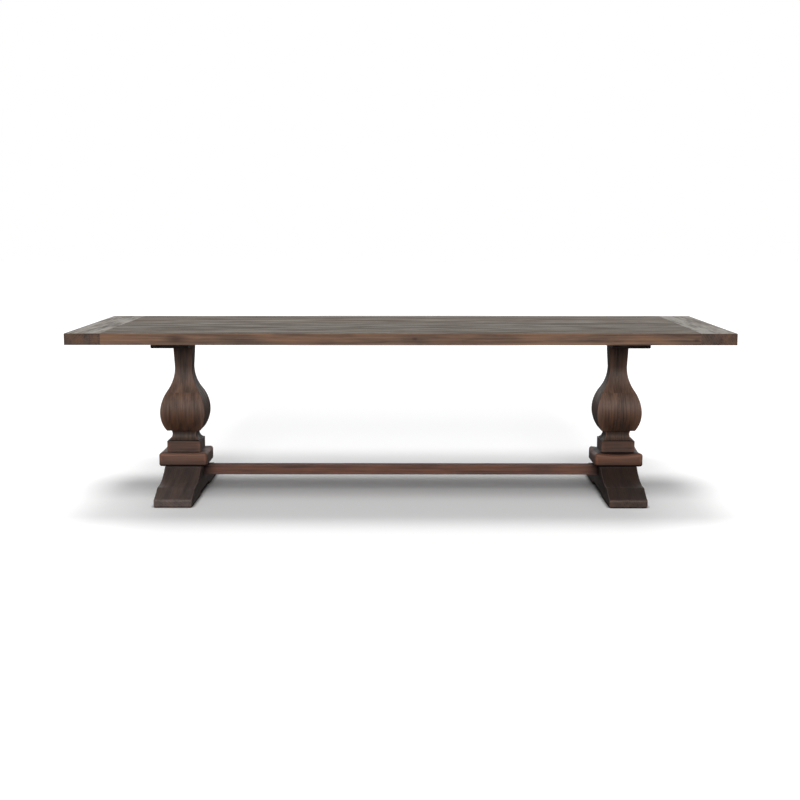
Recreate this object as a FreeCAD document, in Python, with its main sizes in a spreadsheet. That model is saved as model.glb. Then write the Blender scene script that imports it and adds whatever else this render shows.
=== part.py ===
# Trestle dining table: a plank top with breadboard ends, carried by two square vase balusters on
# shaped sled feet that a low stretcher ties together.
#
# Frame: the origin is on the floor under the middle of the table. X runs along the length, Y from
# front to back and Z up. All sizes are millimetres.
import FreeCAD, Part
import os
import re

import Sketcher
from FreeCAD import Placement, Rotation, Vector

PLANK_COUNT = 6
SCREWED_PLANKS = range(1, PLANK_COUNT - 1)
SIDES = ("left", "right")
QUARTERS = ("front_right", "back_right", "back_left", "front_left")
CORNERS = ((1, -1), (1, 1), (-1, 1), (-1, -1))
EDGE_TOLERANCE = 0.01

SIZES = {
    # Whole table
    "table_length": 2800,
    "table_width": 1000,
    "table_height": 760,
    # Top: planks, breadboard ends, loose splines and draw pegs
    "top_thickness": 48,
    "breadboard_width": 150,
    "edge_ease": 3,
    "seam_chamfer": 1.2,
    "tongue_thickness": 16,
    "tongue_length": 36,
    "tongue_stop": 45,
    "tongue_clearance": 1,
    "spline_thickness": 8,
    "spline_depth": 12,
    "spline_clearance": 0.5,
    "peg_diameter": 10,
    "peg_rise": 8,
    # Bearers that carry the top, and their screws
    "bearer_length": 776,
    "bearer_width": 162,
    "bearer_thickness": 25,
    "bearer_chamfer": 5,
    "screw_diameter": 5,
    "screw_grip": 26,
    "screw_head_diameter": 10,
    "screw_head_height": 4,
    "screw_recess": 6,
    "screw_row_spacing": 100,
    "screw_stagger": 60,
    # Square vase baluster, measured up from the die
    "pedestal_spacing": 1960,
    "column_top_width": 90,
    "neck_width": 78,
    "neck_drop": 121,
    "neck_radius": 175,
    "bulb_width": 200,
    "belly_rise": 128,
    "bulb_under_radius": 143,
    "scotia_height": 47,
    "scotia_top_width": 116,
    "scotia_foot_width": 139,
    "scotia_depth": 9.6,
    # Die and cushion plinth
    "die_width": 150,
    "die_height": 49,
    "die_chamfer": 2,
    "plinth_width": 216,
    "plinth_height": 62,
    "plinth_corner_radius": 12,
    "plinth_top_radius": 14,
    "plinth_bottom_radius": 10,
    # Sled foot
    "foot_length": 800,
    "foot_width": 164,
    "foot_height": 122,
    "foot_top_length": 220,
    "foot_lip": 4,
    "land_height": 66,
    "land_length": 28,
    "toe_length": 92,
    "toe_height": 29,
    "toe_hollow": 3.5,
    "nose_radius": 8,
    "relief_length": 270,
    "relief_height": 12,
    # Stretcher, its tenons, bolts and barrel nuts
    "stretcher_height": 45,
    "stretcher_depth": 46,
    "stretcher_rise": 74,
    "stretcher_ease": 2,
    "tenon_length": 45,
    "tenon_shoulder": 5,
    "tenon_clearance": 0.5,
    "bolt_diameter": 6,
    "bolt_spacing": 22,
    "bolt_head_diameter": 12,
    "bolt_head_height": 6,
    "bolt_recess": 50,
    "bolt_recess_diameter": 16,
    "bolt_tip": 4,
    "barrel_diameter": 10,
    "barrel_length": 20,
    "barrel_setback": 32,
    # Tie rod through each pedestal, with its nuts and washers
    "rod_diameter": 10,
    "rod_tip": 2,
    "nut_width": 17,
    "nut_height": 8,
    "washer_diameter": 30,
    "washer_thickness": 2.5,
    "recess_diameter": 36,
    # Dowels that key the pedestal blocks to each other
    "dowel_diameter": 12,
    "dowel_spacing": 46,
    "dowel_depth": 30,
    "bearer_dowel_depth": 13,
    "foot_dowel_spacing": 110,
    "foot_dowel_depth": 40,
    # Glides under the feet
    "glide_thickness": 4,
    "glide_diameter": 28,
    "glide_inset": 32,
    "glide_setback": 45,
    "glide_screw_diameter": 3,
    "glide_screw_grip": 16,
    "glide_head_diameter": 7,
    "glide_head_height": 1.6,
    # Room round every fastener, dowel and peg
    "fastener_clearance": 0.2,
}

# Levels and places that several pieces share
PLANK_WIDTH = f"table_width / {PLANK_COUNT}"
SHOULDER = "(table_length / 2 - breadboard_width)"
TOP_UNDERSIDE = "(table_height - top_thickness)"
COLUMN_TOP = "(table_height - top_thickness - bearer_thickness)"
FOOT_TOP = "(glide_thickness + foot_height)"
PLINTH_TOP = "(glide_thickness + foot_height + plinth_height)"
COLUMN_BASE = "(glide_thickness + foot_height + plinth_height + die_height)"
COLUMN_HEIGHT = f"({COLUMN_TOP} - {COLUMN_BASE})"
STRETCHER_MIDDLE = "(stretcher_rise + stretcher_height / 2)"
PEDESTAL_X = {"left": "(-pedestal_spacing / 2)", "right": "(pedestal_spacing / 2)"}
STRETCHER_LENGTH = "(pedestal_spacing - foot_width)"
INWARD = {"left": 1, "right": -1}
ROD_RECESS = "(washer_thickness + nut_height + rod_tip)"
ROD_BORE = "(rod_diameter + 2 * fastener_clearance)"
DOWEL_BORE = "(dowel_diameter + 2 * fastener_clearance)"
PEG_LENGTH = "((top_thickness + tongue_thickness) / 2 + peg_rise)"
PEG_BORE = "(peg_diameter + 2 * fastener_clearance)"
SCREW_BORE = "(screw_diameter + 2 * fastener_clearance)"
BOLT_BORE = "(bolt_diameter + 2 * fastener_clearance)"
GLIDE_BORE = "(glide_screw_diameter + 2 * fastener_clearance)"
TENON_WIDTH = "(stretcher_depth - 2 * tenon_shoulder)"
TENON_HEIGHT = "(stretcher_height - 2 * tenon_shoulder)"

doc = FreeCAD.newDocument("TrestleTable")
sheet = doc.addObject("Spreadsheet::Sheet", "Sizes")
for row, (alias, number) in enumerate(SIZES.items(), start=1):
    sheet.set(f"A{row}", alias)
    sheet.set(f"B{row}", str(number))
    sheet.setAlias(f"B{row}", alias)
doc.recompute()

ALIASES = re.compile(r"\b(" + "|".join(SIZES) + r")\b")
nodes = []


# Binding sizes to the sheet

def formula(text):
    return ALIASES.sub(r"Sizes.\1", str(text))


def bind(item, name, text):
    item.setExpression(name, formula(text))


def value(text):
    return float(sheet.evalExpression(formula(text)))


def place(item, x="0", y="0", z="0", rotation=None):
    if rotation is not None:
        item.Placement = Placement(Vector(), rotation)
    for axis, text in zip("xyz", (x, y, z)):
        bind(item, f"Placement.Base.{axis}", text)


# Sketches and features

def new_body(label):
    body = doc.addObject("PartDesign::Body", label)
    body.Label = label
    nodes.append(body)
    return body


def sketch_on(body, name, role, offset="0"):
    sketch = body.newObject("Sketcher::SketchObject", name)
    plane = next(item for item in body.Origin.OriginFeatures if item.Role == role)
    sketch.AttachmentSupport = [(plane, "")]
    sketch.MapMode = "FlatFace"
    bind(sketch, "AttachmentOffset.Base.z", offset)
    return sketch


def measure(sketch, kind, *target, text):
    index = sketch.addConstraint(Sketcher.Constraint(kind, *target, value(text)))
    bind(sketch, f"Constraints[{index}]", text)


def pin(sketch, geometry, point, x, y):
    measure(sketch, "DistanceX", -1, 1, geometry, point, text=x)
    measure(sketch, "DistanceY", -1, 1, geometry, point, text=y)


def polygon(sketch, corners):
    points = [Vector(value(x), value(y), 0) for x, y in corners]
    first = sketch.GeometryCount
    for start, end in zip(points, points[1:] + points[:1]):
        sketch.addGeometry(Part.LineSegment(start, end), False)
    for index, corner in enumerate(corners):
        following = first + (index + 1) % len(corners)
        sketch.addConstraint(Sketcher.Constraint("Coincident", first + index, 2, following, 1))
        pin(sketch, first + index, 1, *corner)


def rectangle(sketch, x_low, y_low, x_high, y_high):
    polygon(sketch, [(x_low, y_low), (x_high, y_low), (x_high, y_high), (x_low, y_high)])


def circle(sketch, x, y, diameter):
    centre = Vector(value(x), value(y), 0)
    round_edge = Part.Circle(centre, Vector(0, 0, 1), value(diameter) / 2)
    geometry = sketch.addGeometry(round_edge, False)
    pin(sketch, geometry, 3, x, y)
    measure(sketch, "Diameter", geometry, text=diameter)


def arc_between(sketch, start, end, centre):
    """Adds the shorter arc and returns it with the indices of its start and end points."""
    circle_curve = Part.Circle(centre, Vector(0, 0, 1), (start - centre).Length)
    turn = (start - centre).cross(end - centre).z
    first, last = (start, end) if turn > 0 else (end, start)
    arc = Part.ArcOfCircle(circle_curve, circle_curve.parameter(first), circle_curve.parameter(last))
    geometry = sketch.addGeometry(arc, False)
    return (geometry, 1, 2) if turn > 0 else (geometry, 2, 1)


def join(sketch, kind, ahead, behind):
    """Ties the end of one segment to the start of the next; each is a geometry with its two points."""
    sketch.addConstraint(Sketcher.Constraint(kind, ahead[0], ahead[2], behind[0], behind[1]))


def chain(sketch, segments):
    for ahead, behind in zip(segments, segments[1:]):
        join(sketch, "Coincident", ahead, behind)


def line_between(sketch, start, end):
    return sketch.addGeometry(Part.LineSegment(start, end), False), 1, 2


def pad(body, name, sketch, length, middle=False):
    feature = body.newObject("PartDesign::Pad", name)
    feature.Profile = sketch
    feature.Midplane = middle
    bind(feature, "Length", length)
    doc.recompute()


def pocket(body, name, sketch, depth=None, ahead=False):
    """Cuts ahead along the sketch's normal, or against it, or all the way through both ways."""
    before = body.Shape.Volume
    feature = body.newObject("PartDesign::Pocket", name)
    feature.Profile = sketch
    feature.Reversed = ahead
    if depth is None:
        feature.Type = "ThroughAll"
        feature.Midplane = True
    else:
        bind(feature, "Length", depth)
    doc.recompute()
    if body.Shape.Volume >= before:
        raise ValueError(f"{body.Label}: {name} cuts nothing")


def bores(body, name, centres, diameter, start, depth=None, upward=False, role="XY_Plane"):
    sketch = sketch_on(body, f"{name}_sketch", role, start)
    for x, y in centres:
        circle(sketch, x, y, diameter)
    pocket(body, name, sketch, depth, upward)


def ease(body, name, kind, size, wanted):
    """Rounds or chamfers the edges of the body that the test wants."""
    edges = [f"Edge{number}" for number, edge in enumerate(body.Shape.Edges, start=1) if wanted(edge)]
    base = body.Tip
    feature = body.newObject(f"PartDesign::{kind}", name)
    feature.Base = (base, edges)
    bind(feature, "Radius" if kind == "Fillet" else "Size", size)
    doc.recompute()


def lies_at(edge, axis, level):
    low = getattr(edge.BoundBox, f"{axis}Min")
    high = getattr(edge.BoundBox, f"{axis}Max")
    return abs(low - level) < EDGE_TOLERANCE and abs(high - level) < EDGE_TOLERANCE


def lies_at_ends(edge, axis, level):
    return lies_at(edge, axis, level) or lies_at(edge, axis, -level)


def square_of(spacing):
    """The four corners of a square about the middle."""
    return [(f"{x} * {spacing} / 2", f"{y} * {spacing} / 2") for x, y in CORNERS]


# Turned and plain stock for pegs, dowels and fasteners

def rod(diameter, length, x, y, z, rotation=None):
    stock = doc.addObject("Part::Cylinder", "Round")
    bind(stock, "Radius", f"({diameter}) / 2")
    bind(stock, "Height", length)
    place(stock, x, y, z, rotation)
    return stock


def cut(stock, tool):
    result = doc.addObject("Part::Cut", "Bored")
    result.Base = stock
    result.Tool = tool
    return result


def headed(head, shank):
    result = doc.addObject("Part::MultiFuse", "Headed")
    result.Shapes = [head, shank]
    return result


def group(label, members):
    result = doc.addObject("Part::Compound", label)
    result.Label = label
    result.Links = members
    nodes.append(result)


# Top

def plank_middle(plank):
    return f"{plank + 0.5} * {PLANK_WIDTH} - table_width / 2"


def screw_places(bearer_middle, plank_line):
    """One plank's two screws in one bearer, set either side of both middles along a diagonal."""
    return [(f"{bearer_middle} + {row} * screw_row_spacing / 2", f"{plank_line} + {row} * screw_stagger / 2")
            for row in (-1, 1)]


def screws_past_shoulder():
    """Screws of a bearer that reaches under the breadboard end, measured from the shoulder."""
    from_shoulder = f"({PEDESTAL_X['right']} - {SHOULDER})"
    places = []
    for plank in SCREWED_PLANKS:
        places.extend(screw_places(from_shoulder, plank_middle(plank)))
    return [(x, y) for x, y in places if value(f"{x} + {SCREW_BORE} / 2") > 0]


def make_plank(plank):
    body = new_body(f"top_plank_{plank + 1}")
    first = plank == 0
    last = plank == PLANK_COUNT - 1
    board = sketch_on(body, "board_sketch", "YZ_Plane")
    rectangle(board, "0", "0", PLANK_WIDTH, "top_thickness")
    pad(body, "board", board, f"2 * {SHOULDER}", middle=True)

    tongue = sketch_on(body, "tongue_sketch", "YZ_Plane")
    start = "tongue_stop" if first else "0"
    end = f"{PLANK_WIDTH} - tongue_stop" if last else PLANK_WIDTH
    rectangle(tongue, start, "(top_thickness - tongue_thickness) / 2",
              end, "(top_thickness + tongue_thickness) / 2")
    pad(body, "tongue", tongue, f"2 * ({SHOULDER} + tongue_length)", middle=True)

    groove = sketch_on(body, "groove_sketch", "YZ_Plane")
    low = "(top_thickness - spline_thickness) / 2"
    high = "(top_thickness + spline_thickness) / 2"
    depth = "(spline_depth + spline_clearance)"
    if not first:
        rectangle(groove, "0", low, depth, high)
    if not last:
        rectangle(groove, f"{PLANK_WIDTH} - {depth}", low, PLANK_WIDTH, high)
    pocket(body, "groove", groove)

    middle = f"{PLANK_WIDTH} / 2"
    pegs = [(f"{side} * ({SHOULDER} + tongue_length / 2)", middle) for side in (-1, 1)]
    bores(body, "peg_bores", pegs, PEG_BORE, "0")
    if plank in SCREWED_PLANKS:
        screws = [spot for side in SIDES for spot in screw_places(PEDESTAL_X[side], middle)]
        bores(body, "screw_bores", screws, SCREW_BORE, "0", "screw_grip", True)

    thickness = value("top_thickness")
    outer = 0 if first else value(PLANK_WIDTH)
    outer_board = first or last
    ease(body, "seam_edges", "Chamfer", "seam_chamfer",
         lambda edge: lies_at(edge, "Z", thickness) and not (outer_board and lies_at(edge, "Y", outer)))
    if outer_board:
        ease(body, "outer_edge", "Fillet", "edge_ease",
             lambda edge: lies_at(edge, "Y", outer)
             and (lies_at(edge, "Z", thickness) or lies_at(edge, "Z", 0)))
    place(body, y=f"{plank} * {PLANK_WIDTH} - table_width / 2", z=TOP_UNDERSIDE)


def make_breadboard(side):
    """Built with its shoulder at X = 0 and its outer edge ahead; the left one is turned round."""
    body = new_body(f"breadboard_end_{side}")
    board = sketch_on(body, "board_sketch", "XY_Plane")
    rectangle(board, "0", "-table_width / 2", "breadboard_width", "table_width / 2")
    pad(body, "board", board, "top_thickness")

    groove = sketch_on(body, "groove_sketch", "YZ_Plane")
    reach = "(table_width / 2 - tongue_stop + tongue_clearance)"
    rectangle(groove, f"-{reach}", "(top_thickness - tongue_thickness) / 2",
              reach, "(top_thickness + tongue_thickness) / 2")
    pocket(body, "groove", groove, "tongue_length + tongue_clearance", ahead=True)

    pegs = [("tongue_length / 2", plank_middle(plank)) for plank in range(PLANK_COUNT)]
    bores(body, "peg_bores", pegs, PEG_BORE, "0", PEG_LENGTH, True)
    screws = screws_past_shoulder()
    if screws:
        bores(body, "screw_bores", screws, SCREW_BORE, "0", "screw_grip", True)

    thickness = value("top_thickness")
    width = value("breadboard_width")
    half_length = value("table_width / 2")
    ease(body, "outer_edges", "Fillet", "edge_ease",
         lambda edge: not lies_at(edge, "X", 0)
         and (lies_at(edge, "X", width) or lies_at_ends(edge, "Y", half_length)))
    ease(body, "seam_edge", "Chamfer", "seam_chamfer",
         lambda edge: lies_at(edge, "Z", thickness) and lies_at(edge, "X", 0))
    turn = Rotation(Vector(0, 0, 1), 180 if side == "left" else 0)
    place(body, x=f"{-INWARD[side]} * {SHOULDER}", z=TOP_UNDERSIDE, rotation=turn)


def make_splines():
    for seam in range(1, PLANK_COUNT):
        spline = doc.addObject("Part::Box", f"plank_spline_{seam}")
        spline.Label = f"plank_spline_{seam}"
        bind(spline, "Length", f"2 * {SHOULDER}")
        bind(spline, "Width", "2 * spline_depth")
        bind(spline, "Height", "spline_thickness")
        place(spline, f"-{SHOULDER}", f"{seam} * {PLANK_WIDTH} - table_width / 2 - spline_depth",
              f"{TOP_UNDERSIDE} + (top_thickness - spline_thickness) / 2")
        nodes.append(spline)


def make_pegs():
    pegs = []
    for side in (-1, 1):
        x = f"{side} * ({SHOULDER} + tongue_length / 2)"
        for plank in range(PLANK_COUNT):
            pegs.append(rod("peg_diameter", PEG_LENGTH, x, plank_middle(plank), TOP_UNDERSIDE))
    group("breadboard_pegs", pegs)


# Bearers

def make_bearer(side):
    body = new_body(f"top_bearer_{side}")
    board = sketch_on(body, "board_sketch", "XY_Plane")
    rectangle(board, "-bearer_width / 2", "-bearer_length / 2", "bearer_width / 2", "bearer_length / 2")
    pad(body, "board", board, "bearer_thickness")
    half_length = value("bearer_length / 2")
    ease(body, "end_edges", "Chamfer", "bearer_chamfer",
         lambda edge: lies_at(edge, "Z", 0) and lies_at_ends(edge, "Y", half_length))

    bores(body, "rod_bore", [("0", "0")], ROD_BORE, "0")
    bores(body, "rod_recess", [("0", "0")], "recess_diameter", "bearer_thickness", ROD_RECESS)
    bores(body, "dowel_bores", square_of("dowel_spacing"), DOWEL_BORE, "0", "bearer_dowel_depth", True)
    screws = [spot for plank in SCREWED_PLANKS for spot in screw_places("0", plank_middle(plank))]
    head_bore = "screw_head_diameter + 2 * fastener_clearance"
    bores(body, "screw_bores", screws, SCREW_BORE, "0")
    bores(body, "screw_recesses", screws, head_bore, "0", "screw_recess", True)
    place(body, x=PEDESTAL_X[side], z=COLUMN_TOP)


def make_bearer_screws(side):
    screws = []
    for plank in SCREWED_PLANKS:
        for x, y in screw_places(PEDESTAL_X[side], plank_middle(plank)):
            seat = f"{COLUMN_TOP} + screw_recess"
            head = rod("screw_head_diameter", "screw_head_height", x, y, f"{seat} - screw_head_height")
            shank = rod("screw_diameter", "bearer_thickness - screw_recess + screw_grip", x, y, seat)
            screws.append(headed(head, shank))
    group(f"bearer_screws_{side}", screws)


# Square vase baluster, glued up from four quarter billets

def baluster_outline(sketch, hand, far):
    """Draws the vase profile on one hand of the middle, closed by straight edges at the far distance.

    An ogee of two equal arcs runs from the belly to the neck, where the neck's own radius takes over
    and meets the straight taper of the shaft.
    """
    base = Vector(hand * value("scotia_foot_width / 2"), 0, 0)
    lip = Vector(hand * value("scotia_top_width / 2"), value("scotia_height"), 0)
    chord = "sqrt((scotia_foot_width - scotia_top_width)^2 / 4 + scotia_height^2)"
    scotia_radius = f"(({chord})^2 / 4 + scotia_depth^2) / (2 * scotia_depth)"
    along = (lip - base).normalize()
    outward = Vector(hand * along.y, -hand * along.x, 0)
    scotia_centre = (base + lip) * 0.5 + outward * (value(scotia_radius) - value("scotia_depth"))

    belly = Vector(hand * value("bulb_width / 2"), value("belly_rise"), 0)
    under_centre = belly - Vector(hand * value("bulb_under_radius"), 0, 0)
    drop = value("belly_rise - scotia_height")
    under_reach = (value("bulb_under_radius") ** 2 - drop ** 2) ** 0.5
    bulb_foot = Vector(under_centre.x + hand * under_reach, lip.y, 0)

    neck_level = f"({COLUMN_HEIGHT} - neck_drop)"
    flare = "((bulb_width - neck_width) / 2)"
    rise = f"({neck_level} - belly_rise)"
    ogee_radius = f"(({flare}^2 + {rise}^2) / (4 * {flare}))"
    neck = Vector(hand * value("neck_width / 2"), value(neck_level), 0)
    throat_centre = neck + Vector(hand * value(ogee_radius), 0, 0)
    bulb_centre = belly - Vector(hand * value(ogee_radius), 0, 0)
    waist = (throat_centre + bulb_centre) * 0.5

    radius = value("neck_radius")
    neck_centre = neck + Vector(hand * radius, 0, 0)
    crown = Vector(hand * value("column_top_width / 2"), value(COLUMN_HEIGHT), 0)
    reach = crown - neck_centre
    tangent_length = (reach.Length ** 2 - radius ** 2) ** 0.5
    across = Vector(reach.y, -reach.x, 0) * -hand
    span = reach.Length ** 2
    touch = neck_centre + reach * (radius ** 2 / span) + across * (radius * tangent_length / span)

    edge_x = f"{hand} * {far}"
    far_top = Vector(value(edge_x), crown.y, 0)
    far_base = Vector(value(edge_x), 0, 0)
    scotia = arc_between(sketch, base, lip, scotia_centre)
    underside = line_between(sketch, lip, bulb_foot)
    under = arc_between(sketch, bulb_foot, belly, under_centre)
    bulb = arc_between(sketch, belly, waist, bulb_centre)
    throat = arc_between(sketch, waist, neck, throat_centre)
    hollow = arc_between(sketch, neck, touch, neck_centre)
    shaft = line_between(sketch, touch, crown)
    top = line_between(sketch, crown, far_top)
    back = line_between(sketch, far_top, far_base)
    foot = line_between(sketch, far_base, base)

    chain(sketch, [shaft, top, back, foot, scotia, underside, under, bulb])
    chain(sketch, [throat, hollow])
    join(sketch, "Tangent", bulb, throat)
    join(sketch, "Tangent", hollow, shaft)
    sketch.addConstraint(Sketcher.Constraint("Horizontal", underside[0]))
    pin(sketch, scotia[0], scotia[1], f"{hand} * scotia_foot_width / 2", "0")
    pin(sketch, scotia[0], scotia[2], f"{hand} * scotia_top_width / 2", "scotia_height")
    measure(sketch, "Radius", scotia[0], text=scotia_radius)
    pin(sketch, under[0], under[2], f"{hand} * bulb_width / 2", "belly_rise")
    pin(sketch, under[0], 3, f"{hand} * (bulb_width / 2 - bulb_under_radius)", "belly_rise")
    measure(sketch, "DistanceY", -1, 1, bulb[0], 3, text="belly_rise")
    pin(sketch, throat[0], 3, f"{hand} * (neck_width / 2 + {ogee_radius})", neck_level)
    pin(sketch, hollow[0], hollow[1], f"{hand} * neck_width / 2", neck_level)
    pin(sketch, hollow[0], 3, f"{hand} * (neck_width / 2 + neck_radius)", neck_level)
    pin(sketch, top[0], 1, f"{hand} * column_top_width / 2", COLUMN_HEIGHT)
    pin(sketch, back[0], 1, edge_x, COLUMN_HEIGHT)
    pin(sketch, back[0], 2, edge_x, "0")


def make_billet(side, quarter):
    """The quarter to the front right, sawn to the profile from the front and then from the side."""
    body = new_body(f"{side}_baluster_{QUARTERS[quarter]}")
    front = sketch_on(body, "front_profile", "XZ_Plane")
    baluster_outline(front, 1, "0")
    pad(body, "front_sawn", front, "bulb_width / 2")
    flank = sketch_on(body, "side_profile", "YZ_Plane")
    baluster_outline(flank, -1, "bulb_width")
    pocket(body, "side_sawn", flank, "bulb_width", ahead=True)
    bores(body, "rod_bore", [("0", "0")], ROD_BORE, "0")
    dowel = [square_of("dowel_spacing")[0]]
    bores(body, "base_dowel", dowel, DOWEL_BORE, "0", "dowel_depth", True)
    bores(body, "top_dowel", dowel, DOWEL_BORE, COLUMN_HEIGHT, "dowel_depth")
    place(body, PEDESTAL_X[side], "0", COLUMN_BASE, Rotation(Vector(0, 0, 1), 90 * quarter))


def make_die(side):
    body = new_body(f"{side}_die_block")
    block = sketch_on(body, "block_sketch", "XY_Plane")
    rectangle(block, "-die_width / 2", "-die_width / 2", "die_width / 2", "die_width / 2")
    pad(body, "block", block, "die_height")
    ease(body, "edges", "Chamfer", "die_chamfer", lambda edge: not lies_at(edge, "Z", 0))
    bores(body, "rod_bore", [("0", "0")], ROD_BORE, "0")
    bores(body, "dowel_bores", square_of("dowel_spacing"), DOWEL_BORE, "0", "die_height", True)
    place(body, PEDESTAL_X[side], "0", PLINTH_TOP)


def make_plinth(side):
    body = new_body(f"{side}_plinth")
    block = sketch_on(body, "block_sketch", "XY_Plane")
    rectangle(block, "-plinth_width / 2", "-plinth_width / 2", "plinth_width / 2", "plinth_width / 2")
    pad(body, "block", block, "plinth_height")
    height = value("plinth_height")
    ease(body, "corners", "Fillet", "plinth_corner_radius",
         lambda edge: not lies_at(edge, "Z", 0) and not lies_at(edge, "Z", height))
    ease(body, "top_edge", "Fillet", "plinth_top_radius", lambda edge: lies_at(edge, "Z", height))
    ease(body, "bottom_edge", "Fillet", "plinth_bottom_radius", lambda edge: lies_at(edge, "Z", 0))
    bores(body, "rod_bore", [("0", "0")], ROD_BORE, "0")
    bores(body, "die_dowels", square_of("dowel_spacing"), DOWEL_BORE, "plinth_height", "dowel_depth")
    bores(body, "foot_dowels", square_of("foot_dowel_spacing"), DOWEL_BORE, "0", "dowel_depth", True)
    place(body, PEDESTAL_X[side], "0", FOOT_TOP)


# Sled foot

def foot_outline(sketch):
    """Side view of the foot: cavetto down to a flat land, an arris, a hollow slope and a blunt toe."""
    arris = "(foot_length / 2 - toe_length)"
    land_start = f"({arris} - land_length)"
    cavetto_run = f"({land_start} - foot_top_length / 2)"
    cavetto_fall = "(foot_height - foot_lip - land_height)"
    cavetto_radius = f"({cavetto_run}^2 + {cavetto_fall}^2) / (2 * {cavetto_fall})"
    slope_chord = "((toe_length^2 + (land_height - toe_height)^2)^0.5)"
    slope_radius = f"({slope_chord}^2 / 4 + toe_hollow^2) / (2 * toe_hollow)"

    corners = {
        "top": ("foot_top_length / 2", "foot_height"),
        "lip": ("foot_top_length / 2", "foot_height - foot_lip"),
        "land": (land_start, "land_height"),
        "arris": (arris, "land_height"),
        "toe": ("foot_length / 2", "toe_height"),
        "heel": ("foot_length / 2", "0"),
        "relief": ("relief_length / 2", "0"),
        "arch": ("relief_length / 2", "relief_height"),
    }
    loop = []
    for hand in (1, -1):
        spot = {name: Vector(hand * value(x), value(y), 0) for name, (x, y) in corners.items()}
        cavetto_centre = spot["land"] + Vector(0, value(cavetto_radius), 0)
        along = (spot["toe"] - spot["arris"]).normalize()
        outward = Vector(-hand * along.y, hand * along.x, 0)
        middle = (spot["arris"] + spot["toe"]) * 0.5
        slope_centre = middle + outward * (value(slope_radius) - value("toe_hollow"))
        pieces = [
            line_between(sketch, spot["top"], spot["lip"]),
            arc_between(sketch, spot["lip"], spot["land"], cavetto_centre),
            line_between(sketch, spot["land"], spot["arris"]),
            arc_between(sketch, spot["arris"], spot["toe"], slope_centre),
            line_between(sketch, spot["toe"], spot["heel"]),
            line_between(sketch, spot["heel"], spot["relief"]),
            line_between(sketch, spot["relief"], spot["arch"]),
        ]
        for piece, name in zip(pieces, corners):
            pin(sketch, piece[0], piece[1], f"{hand} * ({corners[name][0]})", corners[name][1])
        pin(sketch, pieces[-1][0], pieces[-1][2], f"{hand} * {corners['arch'][0]}", corners["arch"][1])
        measure(sketch, "Radius", pieces[1][0], text=cavetto_radius)
        measure(sketch, "Radius", pieces[3][0], text=slope_radius)
        loop.append((pieces, spot))
    (front, front_spot), (back, back_spot) = loop
    arch = line_between(sketch, front_spot["arch"], back_spot["arch"])
    crown = line_between(sketch, back_spot["top"], front_spot["top"])
    returning = [(piece[0], piece[2], piece[1]) for piece in reversed(back)]
    chain(sketch, front + [arch] + returning + [crown, front[0]])


def make_foot(side):
    """Built with the stretcher side ahead along X; the right foot is turned round."""
    body = new_body(f"{side}_foot")
    outline = sketch_on(body, "outline_sketch", "YZ_Plane")
    foot_outline(outline)
    pad(body, "blank", outline, "foot_width", middle=True)
    toe = value("foot_length / 2")
    toe_top = value("toe_height")
    ease(body, "nose", "Fillet", "nose_radius",
         lambda edge: lies_at(edge, "Z", toe_top) and lies_at_ends(edge, "Y", toe))

    bores(body, "rod_bore", [("0", "0")], ROD_BORE, "0")
    bores(body, "rod_recess", [("0", "0")], "recess_diameter", "relief_height", ROD_RECESS, True)
    dowels = square_of("foot_dowel_spacing")
    bores(body, "dowel_bores", dowels, DOWEL_BORE, "foot_height", "foot_dowel_depth")

    middle = f"({STRETCHER_MIDDLE} - glide_thickness)"
    mortise = sketch_on(body, "mortise_sketch", "YZ_Plane", "foot_width / 2")
    rectangle(mortise, f"-{TENON_WIDTH} / 2", f"{middle} - {TENON_HEIGHT} / 2",
              f"{TENON_WIDTH} / 2", f"{middle} + {TENON_HEIGHT} / 2")
    pocket(body, "mortise", mortise, "tenon_length + tenon_clearance")
    bolts = [(f"{hand} * bolt_spacing / 2", middle) for hand in (-1, 1)]
    outer_side = "-foot_width / 2"
    bores(body, "bolt_bores", bolts, BOLT_BORE, outer_side, "foot_width", True, "YZ_Plane")
    bores(body, "bolt_recesses", bolts, "bolt_recess_diameter", outer_side, "bolt_recess", True, "YZ_Plane")
    bores(body, "glide_bores", glide_places(), GLIDE_BORE, "0", "glide_screw_grip", True)
    turn = Rotation(Vector(0, 0, 1), 180 if side == "right" else 0)
    place(body, PEDESTAL_X[side], "0", "glide_thickness", turn)


def glide_places():
    across = "(foot_width / 2 - glide_inset)"
    along = "(foot_length / 2 - glide_setback)"
    return [(f"{x} * {across}", f"{y} * {along}") for x, y in CORNERS]


def make_glides():
    glides = []
    screws = []
    for side in SIDES:
        for across, y in glide_places():
            x = f"{PEDESTAL_X[side]} + {across}"
            disc = rod("glide_diameter", "glide_thickness", x, y, "0")
            bore = rod(GLIDE_BORE, "glide_thickness", x, y, "0")
            recess = rod("glide_head_diameter + 2 * fastener_clearance", "2 * glide_head_height", x, y, "0")
            glides.append(cut(cut(disc, bore), recess))
            seat = "2 * glide_head_height"
            head = rod("glide_head_diameter", "glide_head_height", x, y, "glide_head_height")
            shank = rod("glide_screw_diameter", f"glide_thickness + glide_screw_grip - {seat}", x, y, seat)
            screws.append(headed(head, shank))
    group("floor_glides", glides)
    group("glide_screws", screws)


# Stretcher

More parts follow.
